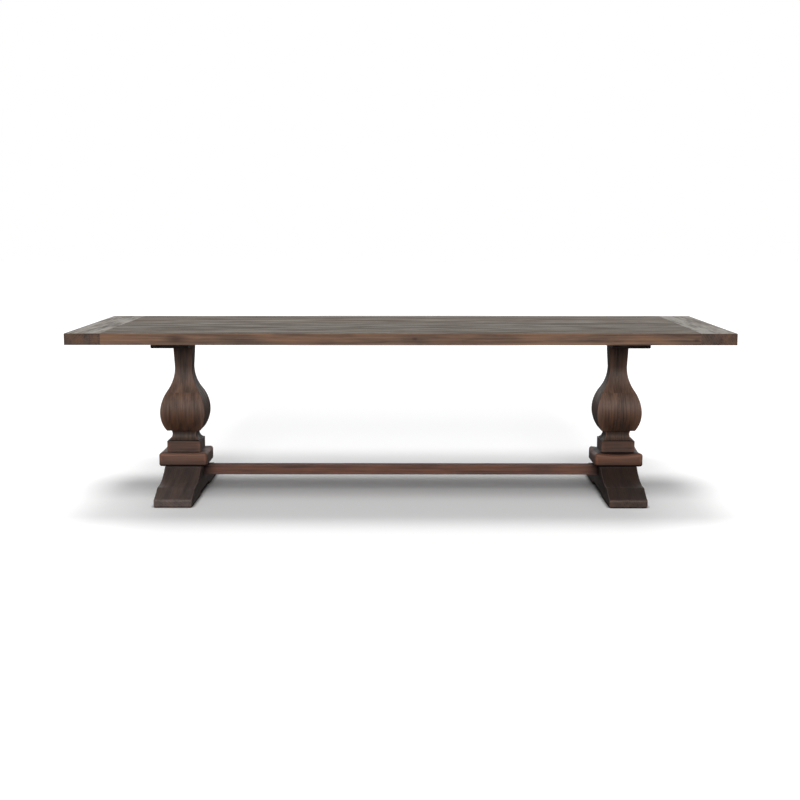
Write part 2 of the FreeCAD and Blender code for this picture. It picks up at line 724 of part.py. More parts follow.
def make_stretcher():
    body = new_body("stretcher")
    rail = sketch_on(body, "rail_sketch", "YZ_Plane")
    rectangle(rail, "-stretcher_depth / 2", "0", "stretcher_depth / 2", "stretcher_height")
    pad(body, "rail", rail, STRETCHER_LENGTH, middle=True)
    half = value(f"{STRETCHER_LENGTH} / 2")
    ease(body, "long_edges", "Chamfer", "stretcher_ease", lambda edge: edge.BoundBox.XLength > half)
    tenon = sketch_on(body, "tenon_sketch", "YZ_Plane")
    rectangle(tenon, f"-{TENON_WIDTH} / 2", "tenon_shoulder",
              f"{TENON_WIDTH} / 2", "stretcher_height - tenon_shoulder")
    pad(body, "tenons", tenon, f"{STRETCHER_LENGTH} + 2 * tenon_length", middle=True)

    shoulder = f"({STRETCHER_LENGTH} / 2)"
    bolts = [(f"{hand} * bolt_spacing / 2", "stretcher_height / 2") for hand in (-1, 1)]
    depth = "tenon_length + barrel_setback + barrel_diameter / 2 + 2 * bolt_tip"
    for end in (-1, 1):
        tenon_end = f"{end} * ({shoulder} + tenon_length)"
        bores(body, "bolt_bores", bolts, BOLT_BORE, tenon_end, depth, end < 0, "YZ_Plane")
    barrel_x = f"({shoulder} - barrel_setback)"
    barrels = [(f"{end} * {barrel_x}", f"{hand} * bolt_spacing / 2") for end, hand in CORNERS]
    bores(body, "barrel_bores", barrels, "barrel_diameter + 2 * fastener_clearance", "0",
          "(stretcher_height + barrel_length) / 2", True)
    place(body, z="stretcher_rise")


def make_stretcher_bolts():
    bolts = []
    barrels = []
    for side in SIDES:
        inward = INWARD[side]
        along = Rotation(Vector(0, 1, 0), 90 * inward)
        seat = f"{PEDESTAL_X[side]} + {inward} * (bolt_recess - foot_width / 2)"
        barrel_x = f"{PEDESTAL_X[side]} + {inward} * (foot_width / 2 + barrel_setback)"
        length = "foot_width - bolt_recess + barrel_setback + barrel_diameter / 2 + bolt_tip"
        for hand in (-1, 1):
            y = f"{hand} * bolt_spacing / 2"
            head = rod("bolt_head_diameter", "bolt_head_height", f"{seat} - {inward} * bolt_head_height",
                       y, STRETCHER_MIDDLE, along)
            shank = rod("bolt_diameter", length, seat, y, STRETCHER_MIDDLE, along)
            bolts.append(headed(head, shank))
            barrel_low = f"{STRETCHER_MIDDLE} - barrel_length / 2"
            barrel = rod("barrel_diameter", "barrel_length", barrel_x, y, barrel_low)
            hole = rod(BOLT_BORE, "2 * barrel_diameter",
                       f"{barrel_x} - {inward} * barrel_diameter", y, STRETCHER_MIDDLE, along)
            barrels.append(cut(barrel, hole))
    group("stretcher_bolts", bolts)
    group("stretcher_barrel_nuts", barrels)


# Tie rods and dowels of the pedestals

def make_tie_rods():
    low_seat = f"(glide_thickness + relief_height + {ROD_RECESS})"
    high_seat = f"({TOP_UNDERSIDE} - {ROD_RECESS})"
    nuts = []
    washers = []
    for side in SIDES:
        x = PEDESTAL_X[side]
        length = f"{high_seat} - {low_seat} + 2 * {ROD_RECESS}"
        tie = rod("rod_diameter", length, x, "0", f"{low_seat} - {ROD_RECESS}")
        tie.Label = f"{side}_tie_rod"
        nodes.append(tie)
        low = (f"{low_seat} - washer_thickness", f"{low_seat} - washer_thickness - nut_height")
        high = (high_seat, f"{high_seat} + washer_thickness")
        for washer_z, nut_z in (low, high):
            disc = rod("washer_diameter", "washer_thickness", x, "0", washer_z)
            washers.append(cut(disc, rod(ROD_BORE, "washer_thickness", x, "0", washer_z)))
            hexagon = doc.addObject("Part::Prism", "Hexagon")
            hexagon.Polygon = 6
            bind(hexagon, "Circumradius", "nut_width / sqrt(3)")
            bind(hexagon, "Height", "nut_height")
            place(hexagon, x, "0", nut_z)
            nuts.append(cut(hexagon, rod(ROD_BORE, "nut_height", x, "0", nut_z)))
    group("tie_rod_nuts", nuts)
    group("tie_rod_washers", washers)


def make_dowels(side):
    x = PEDESTAL_X[side]
    runs = {
        "bearer_dowels": ("dowel_spacing", COLUMN_TOP, "dowel_depth", "bearer_dowel_depth"),
        "baluster_dowels": ("dowel_spacing", PLINTH_TOP, "dowel_depth", "die_height + dowel_depth"),
        "foot_dowels": ("foot_dowel_spacing", FOOT_TOP, "foot_dowel_depth", "dowel_depth"),
    }
    for name, (spacing, joint, below, above) in runs.items():
        places = square_of(spacing)
        pins = [rod("dowel_diameter", f"{below} + {above}", f"{x} + {across}", y, f"{joint} - {below}")
                for across, y in places]
        group(f"{side}_{name}", pins)


def build():
    for plank in range(PLANK_COUNT):
        make_plank(plank)
    make_splines()
    make_pegs()
    for side in SIDES:
        make_breadboard(side)
        make_bearer(side)
        make_bearer_screws(side)
        for quarter in range(len(QUARTERS)):
            make_billet(side, quarter)
        make_die(side)
        make_plinth(side)
        make_foot(side)
        make_dowels(side)
    make_tie_rods()
    make_stretcher()
    make_stretcher_bolts()
    make_glides()
    doc.recompute()


def check():
    for item in doc.Objects:
        if "Invalid" in item.State or "Error" in item.State:
            raise ValueError(f"{item.Label} failed: {item.State}")
    for node in nodes:
        if node.Shape.isNull() or not node.Shape.isValid():
            raise ValueError(f"{node.Label} has no valid shape")


def write():
    os.makedirs("parts", exist_ok=True)
    for node in nodes:
        node.Shape.exportStep(f"parts/{node.Label}.step")


build()
check()
write()
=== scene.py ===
"""Looks of a trestle dining table: aged, stained pine boards on two square vase balusters.

Run as a script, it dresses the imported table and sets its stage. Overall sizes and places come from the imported
frame, and the sizes that shape each piece are properties. Everything is in metres, with X along the table, Y
from front to back and Z up.
"""

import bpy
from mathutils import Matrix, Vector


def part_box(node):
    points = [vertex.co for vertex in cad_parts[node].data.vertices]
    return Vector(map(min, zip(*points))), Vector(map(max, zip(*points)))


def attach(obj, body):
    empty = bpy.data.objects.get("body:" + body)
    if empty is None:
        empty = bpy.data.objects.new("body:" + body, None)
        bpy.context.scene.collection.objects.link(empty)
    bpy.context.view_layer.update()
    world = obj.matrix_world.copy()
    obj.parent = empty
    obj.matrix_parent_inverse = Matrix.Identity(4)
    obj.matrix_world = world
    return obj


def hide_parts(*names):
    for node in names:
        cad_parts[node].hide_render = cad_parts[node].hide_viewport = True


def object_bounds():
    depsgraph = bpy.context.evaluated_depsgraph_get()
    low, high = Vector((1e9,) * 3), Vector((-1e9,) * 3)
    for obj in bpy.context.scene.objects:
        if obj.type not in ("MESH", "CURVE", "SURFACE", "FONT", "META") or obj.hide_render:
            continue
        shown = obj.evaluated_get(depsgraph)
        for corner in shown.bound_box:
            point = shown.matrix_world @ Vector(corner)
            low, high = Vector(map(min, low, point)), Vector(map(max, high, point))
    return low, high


bl_info = {
    "name": "Trestle Dining Table",
    "version": (1, 0, 0),
    "blender": (4, 5, 0),
    "location": "View3D > Sidebar > Table",
    "description": "Dresses a trestle dining table in aged, stained pine",
    "category": "Object",
}

import math
import random

import bmesh
import bpy
from mathutils import Matrix, Vector, noise

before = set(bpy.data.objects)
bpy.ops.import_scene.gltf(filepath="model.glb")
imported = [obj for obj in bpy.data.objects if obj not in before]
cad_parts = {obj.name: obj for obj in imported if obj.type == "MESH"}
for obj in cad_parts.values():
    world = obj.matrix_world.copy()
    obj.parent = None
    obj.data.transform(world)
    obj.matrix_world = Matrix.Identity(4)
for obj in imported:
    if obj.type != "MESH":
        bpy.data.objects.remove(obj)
CAD_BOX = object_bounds()

MM = 0.001
SIDES = ("left", "right")
QUARTERS = ("front_right", "back_right", "back_left", "front_left")
PLANKS = range(1, 7)
AXES = "XYZ"


# Sizes and colours that a user would change

def linear(hex_colour):
    """Linear RGB of an sRGB hex colour."""
    channels = [int(hex_colour[start:start + 2], 16) / 255 for start in (0, 2, 4)]
    return [c / 12.92 if c <= 0.04045 else ((c + 0.055) / 1.055) ** 2.4 for c in channels]


def colour(name, description, hex_colour):
    return bpy.props.FloatVectorProperty(
        name=name, description=description, subtype="COLOR", min=0.0, max=1.0, default=linear(hex_colour))


def length(name, description, millimetres):
    return bpy.props.FloatProperty(
        name=name, description=description, unit="LENGTH", min=0.0, precision=4, default=millimetres * MM)


class BoardSizes(bpy.types.PropertyGroup):
    """Joints and edges of the sawn boards and blocks."""
    arris_radius: length("Arris radius", "Rounding of an outer sawn edge", 3.0)
    seam_bevel: length("Seam bevel", "Bevel along the seams of the top", 1.4)
    glue_seam: length("Glue seam", "Hairline bevel where two billets are glued", 0.5)
    wear_depth: length("Wear depth", "How far use has rubbed an arris back", 1.3)
    wear_span: length("Wear span", "Length of one rubbed hollow along an arris", 70)
    # The band is rubbed lighter and painted as a highlight
    rub_width: length("Rub width", "Width of the rubbed band beside a baluster's arris", 32)
    tongue_thickness: length("Tongue thickness", "Tongue of the planks in a breadboard end", 16)
    tongue_clearance: length("Tongue clearance", "Room past the tongue's end and stopped sides", 1)
    tongue_stop: length("Tongue stop", "Distance of the tongue from the outer edges", 45)
    bearer_chamfer: length("Bearer chamfer", "Chamfer under each end of a bearer", 5)
    bearer_round: length("Bearer round", "Rounding of a bearer's long lower edges", 4)
    screw_recess: length("Screw recess", "Depth of the recess over a bearer screw", 6)
    bore_clearance: length("Bore clearance", "Room round a screw, bolt, peg or nut", 0.2)
    bolt_recess: length("Bolt recess", "Depth of the recess over a stretcher bolt", 50)
    bolt_recess_width: length("Bolt recess width", "Diameter of that recess", 16)
    nut_recess_width: length("Nut recess width", "Diameter of the recess round a tie rod's nut", 36)
    tenon_length: length("Tenon length", "Stretcher tenon inside the foot", 45)
    tenon_shoulder: length("Tenon shoulder", "Width of the shoulder round that tenon", 5)
    glide_round: length("Glide round", "Rounding of a floor glide's rim", 1.4)


class BalusterSizes(bpy.types.PropertyGroup):
    """Profile of the four-sided vase, measured up from the die."""
    top_width: length("Top width", "Width under the bearer", 90)
    neck_width: length("Neck width", "Width at the narrowest place", 78)
    neck_drop: length("Neck drop", "Distance of the neck below the bearer", 121)
    neck_radius: length("Neck radius", "Radius of the hollow above the neck", 175)
    belly_rise: length("Belly rise", "Height of the widest place", 128)
    under_radius: length("Under radius", "Radius of the bulb below its widest place", 143)
    scotia_height: length("Scotia height", "Height of the hollow moulding at the foot", 47)
    scotia_top_width: length("Scotia top width", "Width of that moulding under the bulb", 116)
    scotia_foot_width: length("Scotia foot width", "Width of that moulding on the die", 139)
    scotia_depth: length("Scotia depth", "Depth of its hollow", 9.6)
    core_width: length("Core width", "Width of the glued core under the bulb's facings", 150)


class FootSizes(bpy.types.PropertyGroup):
    """Profile of the sled foot and rounding of the cushion plinth."""
    top_length: length("Top length", "Flat under the plinth", 220)
    lip: length("Lip", "Square lip above the hollow", 4)
    land_height: length("Land height", "Height of the flat land", 66)
    land_length: length("Land length", "Length of the flat land", 28)
    toe_length: length("Toe length", "Length of the sloping toe", 92)
    toe_height: length("Toe height", "Height of the toe's end", 29)
    toe_hollow: length("Toe hollow", "Hollow of the slope", 3.5)
    nose_radius: length("Nose radius", "Rounding over the toe's end", 8)
    relief_length: length("Relief length", "Length of the relief under the foot", 270)
    relief_height: length("Relief height", "Height of that relief", 12)
    plinth_round: length("Plinth round", "Rounding of the plinth's upper and upright edges", 13)
    plinth_foot_round: length("Plinth foot round", "Rounding of its lower edges", 10)
    plinth_wear: length("Plinth wear", "How far use has dished the more worn plinth's rim", 13)


class TableColours(bpy.types.PropertyGroup):
    """Stained pine, from the dark of its grain to the light of its early wood."""
    top_dark: colour("Top dark", "Dark grain of the top", "42302a")
    top_light: colour("Top light", "Light wood of the top", "8a6a54")
    top_bloom: colour("Top bloom", "Grey bloom of the planks' upper faces", "3e3930")
    end_bloom: colour("End bloom", "Grey bloom of the breadboard ends' upper faces", "74726c")
    baluster_dark: colour("Baluster dark", "Dark grain of the balusters", "31261f")
    baluster_light: colour("Baluster light", "Light wood of the balusters", "7c5d4e")
    # Painted light that lightens the balusters where they slope upward
    baluster_bloom: colour("Baluster bloom", "Bloom where the balusters slope upward", "8a7060")
    block_dark: colour("Block dark", "Dark grain of the dies and plinths", "40302a")
    block_light: colour("Block light", "Light wood of the dies and plinths", "805b4a")
    foot_dark: colour("Foot dark", "Dark grain of the feet", "281f1b")
    foot_light: colour("Foot light", "Light wood of the feet", "5d4b43")
    rail_dark: colour("Rail dark", "Dark grain of the stretcher", "46302a")
    rail_light: colour("Rail light", "Light wood of the stretcher", "8a6150")
    bearer_dark: colour("Bearer dark", "Dark grain of the bearers", "261d19")
    bearer_light: colour("Bearer light", "Light wood of the bearers", "4b3b33")
    bare_dark: colour("Bare dark", "Flecks of the bare beech dowels", "8f6d4c")
    bare_light: colour("Bare light", "Ground of the bare beech dowels", "c4a57f")
    zinc: colour("Zinc", "Zinc plating", "b4b6b4")
    nylon: colour("Nylon", "Black nylon glides", "1c1b1a")
    floor: colour("Floor", "Studio floor as the camera sees it", "fcfcfc")
    floor_bounce: colour("Floor bounce", "Studio floor as it lights the table from below", "6c6c6c")


SETTINGS = {
    "table_boards": BoardSizes,
    "table_baluster": BalusterSizes,
    "table_foot": FootSizes,
    "table_colours": TableColours,
}


# Building meshes

EASE_SEGMENTS = 4
SMOOTH_ANGLE = math.radians(40)
TOUCHING = 1e-5
# An edge that turns further than this is an arris
SHARP = math.radians(60)
# Share of the usual rounding that the arrises of slender pieces have
SLENDER = 0.8
FACE_MARKS = ("board", "tone", "warmth")


def new_bmesh():
    """An empty bmesh that marks arrises for rub, grime and painted light and shade, and each face's board and
    look.
    """
    bm = bmesh.new()
    bm.verts.layers.float.new("arris")
    for mark in FACE_MARKS:
        bm.faces.layers.float.new(mark)
    return bm


def block(low, high, pitch):
    """A block that fills a box, cut into cells of about the given pitch along X, Y and Z."""
    bm = new_bmesh()
    bmesh.ops.create_cube(bm, size=1.0)
    bmesh.ops.scale(bm, vec=high - low, verts=bm.verts)
    bmesh.ops.translate(bm, vec=(low + high) / 2, verts=bm.verts)
    for axis in range(3):
        cuts = round((high[axis] - low[axis]) / pitch[axis]) - 1
        if cuts > 0:
            edges = [edge for edge in bm.edges if runs_along(edge, axis)]
            bmesh.ops.subdivide_edges(bm, edges=edges, cuts=cuts, use_grid_fill=True)
    return bm


def runs_along(edge, axis):
    run = edge.verts[1].co - edge.verts[0].co
    return abs(run[axis]) > run.length - TOUCHING


def lies_at(edge, axis, level):
    return all(abs(vert.co[axis] - level) < TOUCHING for vert in edge.verts)


def on_side(edge, low, high, axis):
    return lies_at(edge, axis, low[axis]) or lies_at(edge, axis, high[axis])


def cut(bm, axis, *levels):
    """Cuts all faces across an axis at the given levels."""
    across = Vector(float(index == axis) for index in range(3))
    for level in levels:
        bmesh.ops.bisect_plane(
            bm, geom=bm.verts[:] + bm.edges[:] + bm.faces[:], plane_co=level * across, plane_no=across)


def draw_out(bm, faces, run):
    """Extrudes faces along a run, and returns the moved faces and vertices.

    A sheet keeps its own faces to close its back, and a closed solid drops them.
    """
    closed = all(len(edge.link_faces) == 2 for face in faces for edge in face.edges)
    drawn = bmesh.ops.extrude_face_region(bm, geom=faces)["geom"]
    if closed:
        bmesh.ops.delete(bm, geom=faces, context="FACES")
    verts = [item for item in drawn if isinstance(item, bmesh.types.BMVert)]
    bmesh.ops.translate(bm, vec=run, verts=verts)
    return [item for item in drawn if isinstance(item, bmesh.types.BMFace)], verts


def ease(bm, edges, width, segments=EASE_SEGMENTS, rubbed=1.0, border=0.0):
    """Rounds edges, and marks their middle and border: lighter up to 1 and darker down to -1.

    Lighter is rubbed by use and paints a highlight on the rounding; darker is grime in seams and joints, and
    painted shade.
    """
    # These marks hold rub and grime, and painted highlight and painted shade
    worn = bm.verts.layers.float["arris"]
    rounded = bmesh.ops.bevel(
        bm, geom=edges, offset=width, offset_type="OFFSET", affect="EDGES", segments=segments,
        profile=0.5, material=-1, clamp_overlap=True)
    faces = set(rounded["faces"])
    for vert in rounded["verts"]:
        vert[worn] = rubbed if faces.issuperset(vert.link_faces) else border


def wear(bm, sizes):
    """Rubs the marked arrises back unevenly, in long hollows."""
    worn = bm.verts.layers.float["arris"]
    bm.normal_update()
    for vert in bm.verts:
        rub = max(0.0, noise.noise(vert.co / sizes.wear_span))
        vert.co -= vert.normal * (sizes.wear_depth * rub * max(0.0, vert[worn]) ** 2)


def seed_of(name):
    """A number from 0 to 1 that is always the same for one board's name."""
    return random.Random(name).random()


# Boards whose look is known, as lightness and warmth. Any other board draws one number from 0 to 1 for both.
# Below 0 the wood has drunk more stain, and above 1 it is rubbed nearly bare.
TONES = {
    "left_baluster_front_left core": (0.95, 0.5),
    "left_baluster_front_right core": (0.9, 0.45),
    "left_baluster_front_left front": (0.65, 1.0),
    "left_baluster_front_right front": (0.65, 0.9),
    # The right baluster's cores are darker partly as painted shade on its column under the top
    "right_baluster_front_left core": (0.12, 0.8),
    "right_baluster_front_right core": (0.12, 0.8),
    "right_baluster_front_left front": (0.55, 1.0),
    "right_baluster_front_right front": (0.42, 0.95),
    "left_baluster_front_left scotia": (-0.22, 0.0),
    "left_baluster_front_right scotia": (-0.26, 0.0),
    "right_baluster_front_left scotia": (-0.33, 0.3),
    "right_baluster_front_right scotia": (-0.3, 0.3),
    "left_baluster_back_right scotia": (-0.3, 0.0),
    "right_baluster_back_left scotia": (-0.45, 0.3),
    "left_baluster_front_right side": (0.66, 1.0),
    "left_baluster_back_right side": (0.6, 1.0),
    "right_baluster_front_left side": (0.72, 1.0),
    "right_baluster_back_left side": (0.66, 1.0),
    "top_plank_1": (0.65, 0.6),
    "top_plank_2": (0.1, 0.7),
    "top_plank_3": (0.3, 0.3),
    "top_plank_4": (0.65, 0.3),
    "top_plank_5": (0.9, 0.7),
    "top_plank_6": (0.4, 0.5),
    "breadboard_end_left stave 0": (0.15, 0.35),
    "breadboard_end_left stave 1": (0.35, 0.6),
    "breadboard_end_left stave 2": (-0.1, 0.1),
    "breadboard_end_left stave 3": (0.25, 0.5),
    "breadboard_end_right stave 0": (-0.05, 0.15),
    "breadboard_end_right stave 1": (0.35, 0.6),
    "left_die_block": (0.35, 0.45),
    "right_die_block": (0.02, 0.5),
    "left_plinth": (0.7, 0.6),
    "right_plinth": (0.65, 0.9),
    "left_foot": (0.42, 0.25),
    "right_foot": (-0.45, 0.8),
    # The noses are lighter than their feet partly as a painted highlight on the rounding
    "left_foot nose": (1.35, 0.2),
    "right_foot nose": (0.4, 0.9),
    "stretcher": (0.64, 0.66),
}


def saw_from(bm, board_of):
    """Marks each face with its board, which the given function names from the face's centre, and its look."""
    board, tone, warmth = [bm.faces.layers.float[mark] for mark in FACE_MARKS]
    for face in bm.faces:
        name = board_of(face.calc_center_median())
        drawn = seed_of(name + " tone")
        face[board] = seed_of(name)
        face[tone], face[warmth] = TONES.get(name, (drawn, drawn))


def piece(name, bm, material, slot, *nodes):
    """Makes a bmesh a finished piece that stands for CAD nodes and moves with the table."""
    bmesh.ops.recalc_face_normals(bm, faces=bm.faces)
    mesh = bpy.data.meshes.new(name)
    bm.to_mesh(mesh)
    bm.free()
    mesh.materials.append(material)
    mesh.shade_smooth()
    mesh.set_sharp_from_angle(angle=SMOOTH_ANGLE)
    made = bpy.data.objects.new(name, mesh)
    bpy.context.scene.collection.objects.link(made)
    flat_faces = made.modifiers.new("Flat faces", "WEIGHTED_NORMAL")
    flat_faces.keep_sharp = True
    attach(made, "root")
    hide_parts(*nodes)
    return made


def solids_of(node):
    """The boxes of the separate solids in one CAD node, as pairs of corners."""
    bm = bmesh.new()
    bm.from_mesh(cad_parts[node].data)
    bmesh.ops.remove_doubles(bm, verts=bm.verts, dist=TOUCHING)
    waiting = set(bm.verts)
    boxes = []
    while waiting:
        front = [waiting.pop()]
        solid = []
        while front:
            vert = front.pop()
            solid.append(vert.co.copy())
            for edge in vert.link_edges:
                other = edge.other_vert(vert)
                if other in waiting:
                    waiting.remove(other)
                    front.append(other)
        low = Vector(min(co[axis] for co in solid) for axis in range(3))
        high = Vector(max(co[axis] for co in solid) for axis in range(3))
        boxes.append((low, high))
    bm.free()
    return sorted(boxes, key=lambda box: tuple(box[0]))


BORE_SIDES = 40


def bore_over(solid, axis, level, depth, diameter):
    """A bore for a solid's middle, which goes a depth along an axis to both sides of a level."""
    middle = (solid[0] + solid[1]) / 2
    middle[axis] = level
    run = Vector((0, 0, 0))
    run[axis] = 2 * depth
    return middle, run, diameter


def bore(made, bores):
    """Cuts round bores into a piece; each is a middle, a direction along it and a diameter."""
    bm = bmesh.new()
    for middle, run, diameter in bores:
        turn = run.to_track_quat("Z", "Y").to_matrix().to_4x4()
        bmesh.ops.create_cone(
            bm, cap_ends=True, cap_tris=False, segments=BORE_SIDES, radius1=diameter / 2,
            radius2=diameter / 2, depth=run.length, matrix=Matrix.Translation(middle) @ turn)
    mesh = bpy.data.meshes.new("bores")
    bm.to_mesh(mesh)
    bm.free()
    cutter = bpy.data.objects.new("bores", mesh)
    bpy.context.scene.collection.objects.link(cutter)
    cutting = made.modifiers.new("Bores", "BOOLEAN")
    cutting.operation = "DIFFERENCE"
    cutting.solver = "EXACT"
    cutting.object = cutter
    flat_faces = made.modifiers["Flat faces"]
    flat_faces.show_viewport = False
    evaluated = made.evaluated_get(bpy.context.evaluated_depsgraph_get())
    bored = bpy.data.meshes.new_from_object(evaluated)
    flat_faces.show_viewport = True
    made.modifiers.remove(cutting)
    whole = made.data
    made.data = bored
    bored.name = made.name
    bpy.data.meshes.remove(whole)
    bpy.data.objects.remove(cutter)
    bpy.data.meshes.remove(mesh)


# Materials

# Sockets of the colour form of Mix
FACTOR, FIRST, SECOND, MIXED = 0, 6, 7, 2


def add(tree, kind, inputs=(), out=0, **settings):
    """Adds a node with its settings, gives its inputs values or links, and returns one output.

    Inputs go by their names, or as a list in the node's own order.
    """
    node = tree.nodes.new("ShaderNode" + kind)
    for name, setting in settings.items():
        setattr(node, name, setting)
    for socket, source in inputs.items() if isinstance(inputs, dict) else enumerate(inputs):
        if isinstance(source, bpy.types.NodeSocket):
            tree.links.new(source, node.inputs[socket])
        else:
            node.inputs[socket].default_value = source
    return node.outputs[out] if node.outputs else None


def new_material(name):
    material = bpy.data.materials.new(name)
    material.use_nodes = True
    tree = material.node_tree
    tree.nodes.clear()
    return material, tree


def opaque(shade, strength=1.0):
    return (*[strength * channel for channel in shade], 1.0)


# Patterns of pine: widths across the grain, how many times longer they are along it, and weights in the grain
RING_SPACING = 9 * MM
RING_STRETCH = 14
RING_WEIGHT = 0.1
STREAK_WIDTH = 7 * MM
STREAK_STRETCH = 26
STREAK_WEIGHT = 0.7
PATCH_STRETCH = 7
PATCH_WEIGHT = 1.05
FIBRE_WIDTH = 2.2 * MM
FIBRE_STRETCH = 45
FIBRE_WEIGHT = 0.35
# The wave texture has this period at a scale of 1
WAVE_PERIOD = math.tau / 20
# How far apart boards lie in the pattern, how much of the depth of a long face counts there, and how squarely
# a face has to be turned for that
BOARD_SHIFT = (3.7, 5.3, 2.9)
DEPTH_SHARE = 0.25
FACE_ON = 0.6
# Middle of the grain, and how far to both sides of it the wood and its veil of bloom and painted light go
# from dark to light
GRAIN_MIDDLE = 1.1
GRAIN_SPREAD = 0.34
VEIL_GRAIN = 0.13
# Lightness of wood whose figure is lost
PLAIN = 0.5
# Share of the fibres added to the grain's height, and that height
FIBRE_RELIEF = 0.6
RELIEF = 0.7 * MM
# Spans over which a board's lightness, its patches or its ageing count, and what they give at both ends
TONE_SPAN = (-0.5, 1.5)
TONE_BRIGHTNESS = (0.4, 1.6)
TONE_VEIL = (0.75, 1.25)
DROWNED_SPAN = (-0.4, 0.0)
PATCH_SPAN = (0.38, 0.62)
VEIL_SPAN = (0.35, 0.6)
VEIL_COVER = (0.75, 1.0)
WARMTH_WEIGHT = 0.6
AGEING_SPAN = (0.3, 1.2)
AGEING_COLOUR = (0.5, 1.2)
VEIL_PATCHINESS = 0.3
# How far up a face looks where it is all underside, in full painted shade, and where it is none, and how
# squarely it looks along the grain where end grain starts and is full
UNDER_SPAN = (-0.35, 0.05)
END_SPAN = (0.7, 0.95)
# Knots: how much a distance along the grain counts, from and to how many radii they fade, and their stain
KNOT_SQUEEZE = 0.55
KNOT_SPAN = (0.5, 1.7)
KNOT_STAIN = 0.75
# Crevices, darkened as painted shade: how deep they count, how open they are where shaded and clear, and
# the share of that shade
CREVICE_DEPTH = 13 * MM
CREVICE_SPAN = (0.3, 0.75)
CREVICE_SHADE = 0.9
# Samples for how open a crevice or a gap is
GAP_SAMPLES = 8
# Strength of the dark colour of grime and painted shade, and of the light one where an arris is rubbed and
# painted as a highlight
SHADE_AND_GRIME = 0.3
RUB_AND_HIGHLIGHT_PALE = 1.3
GLOSS = 0.25


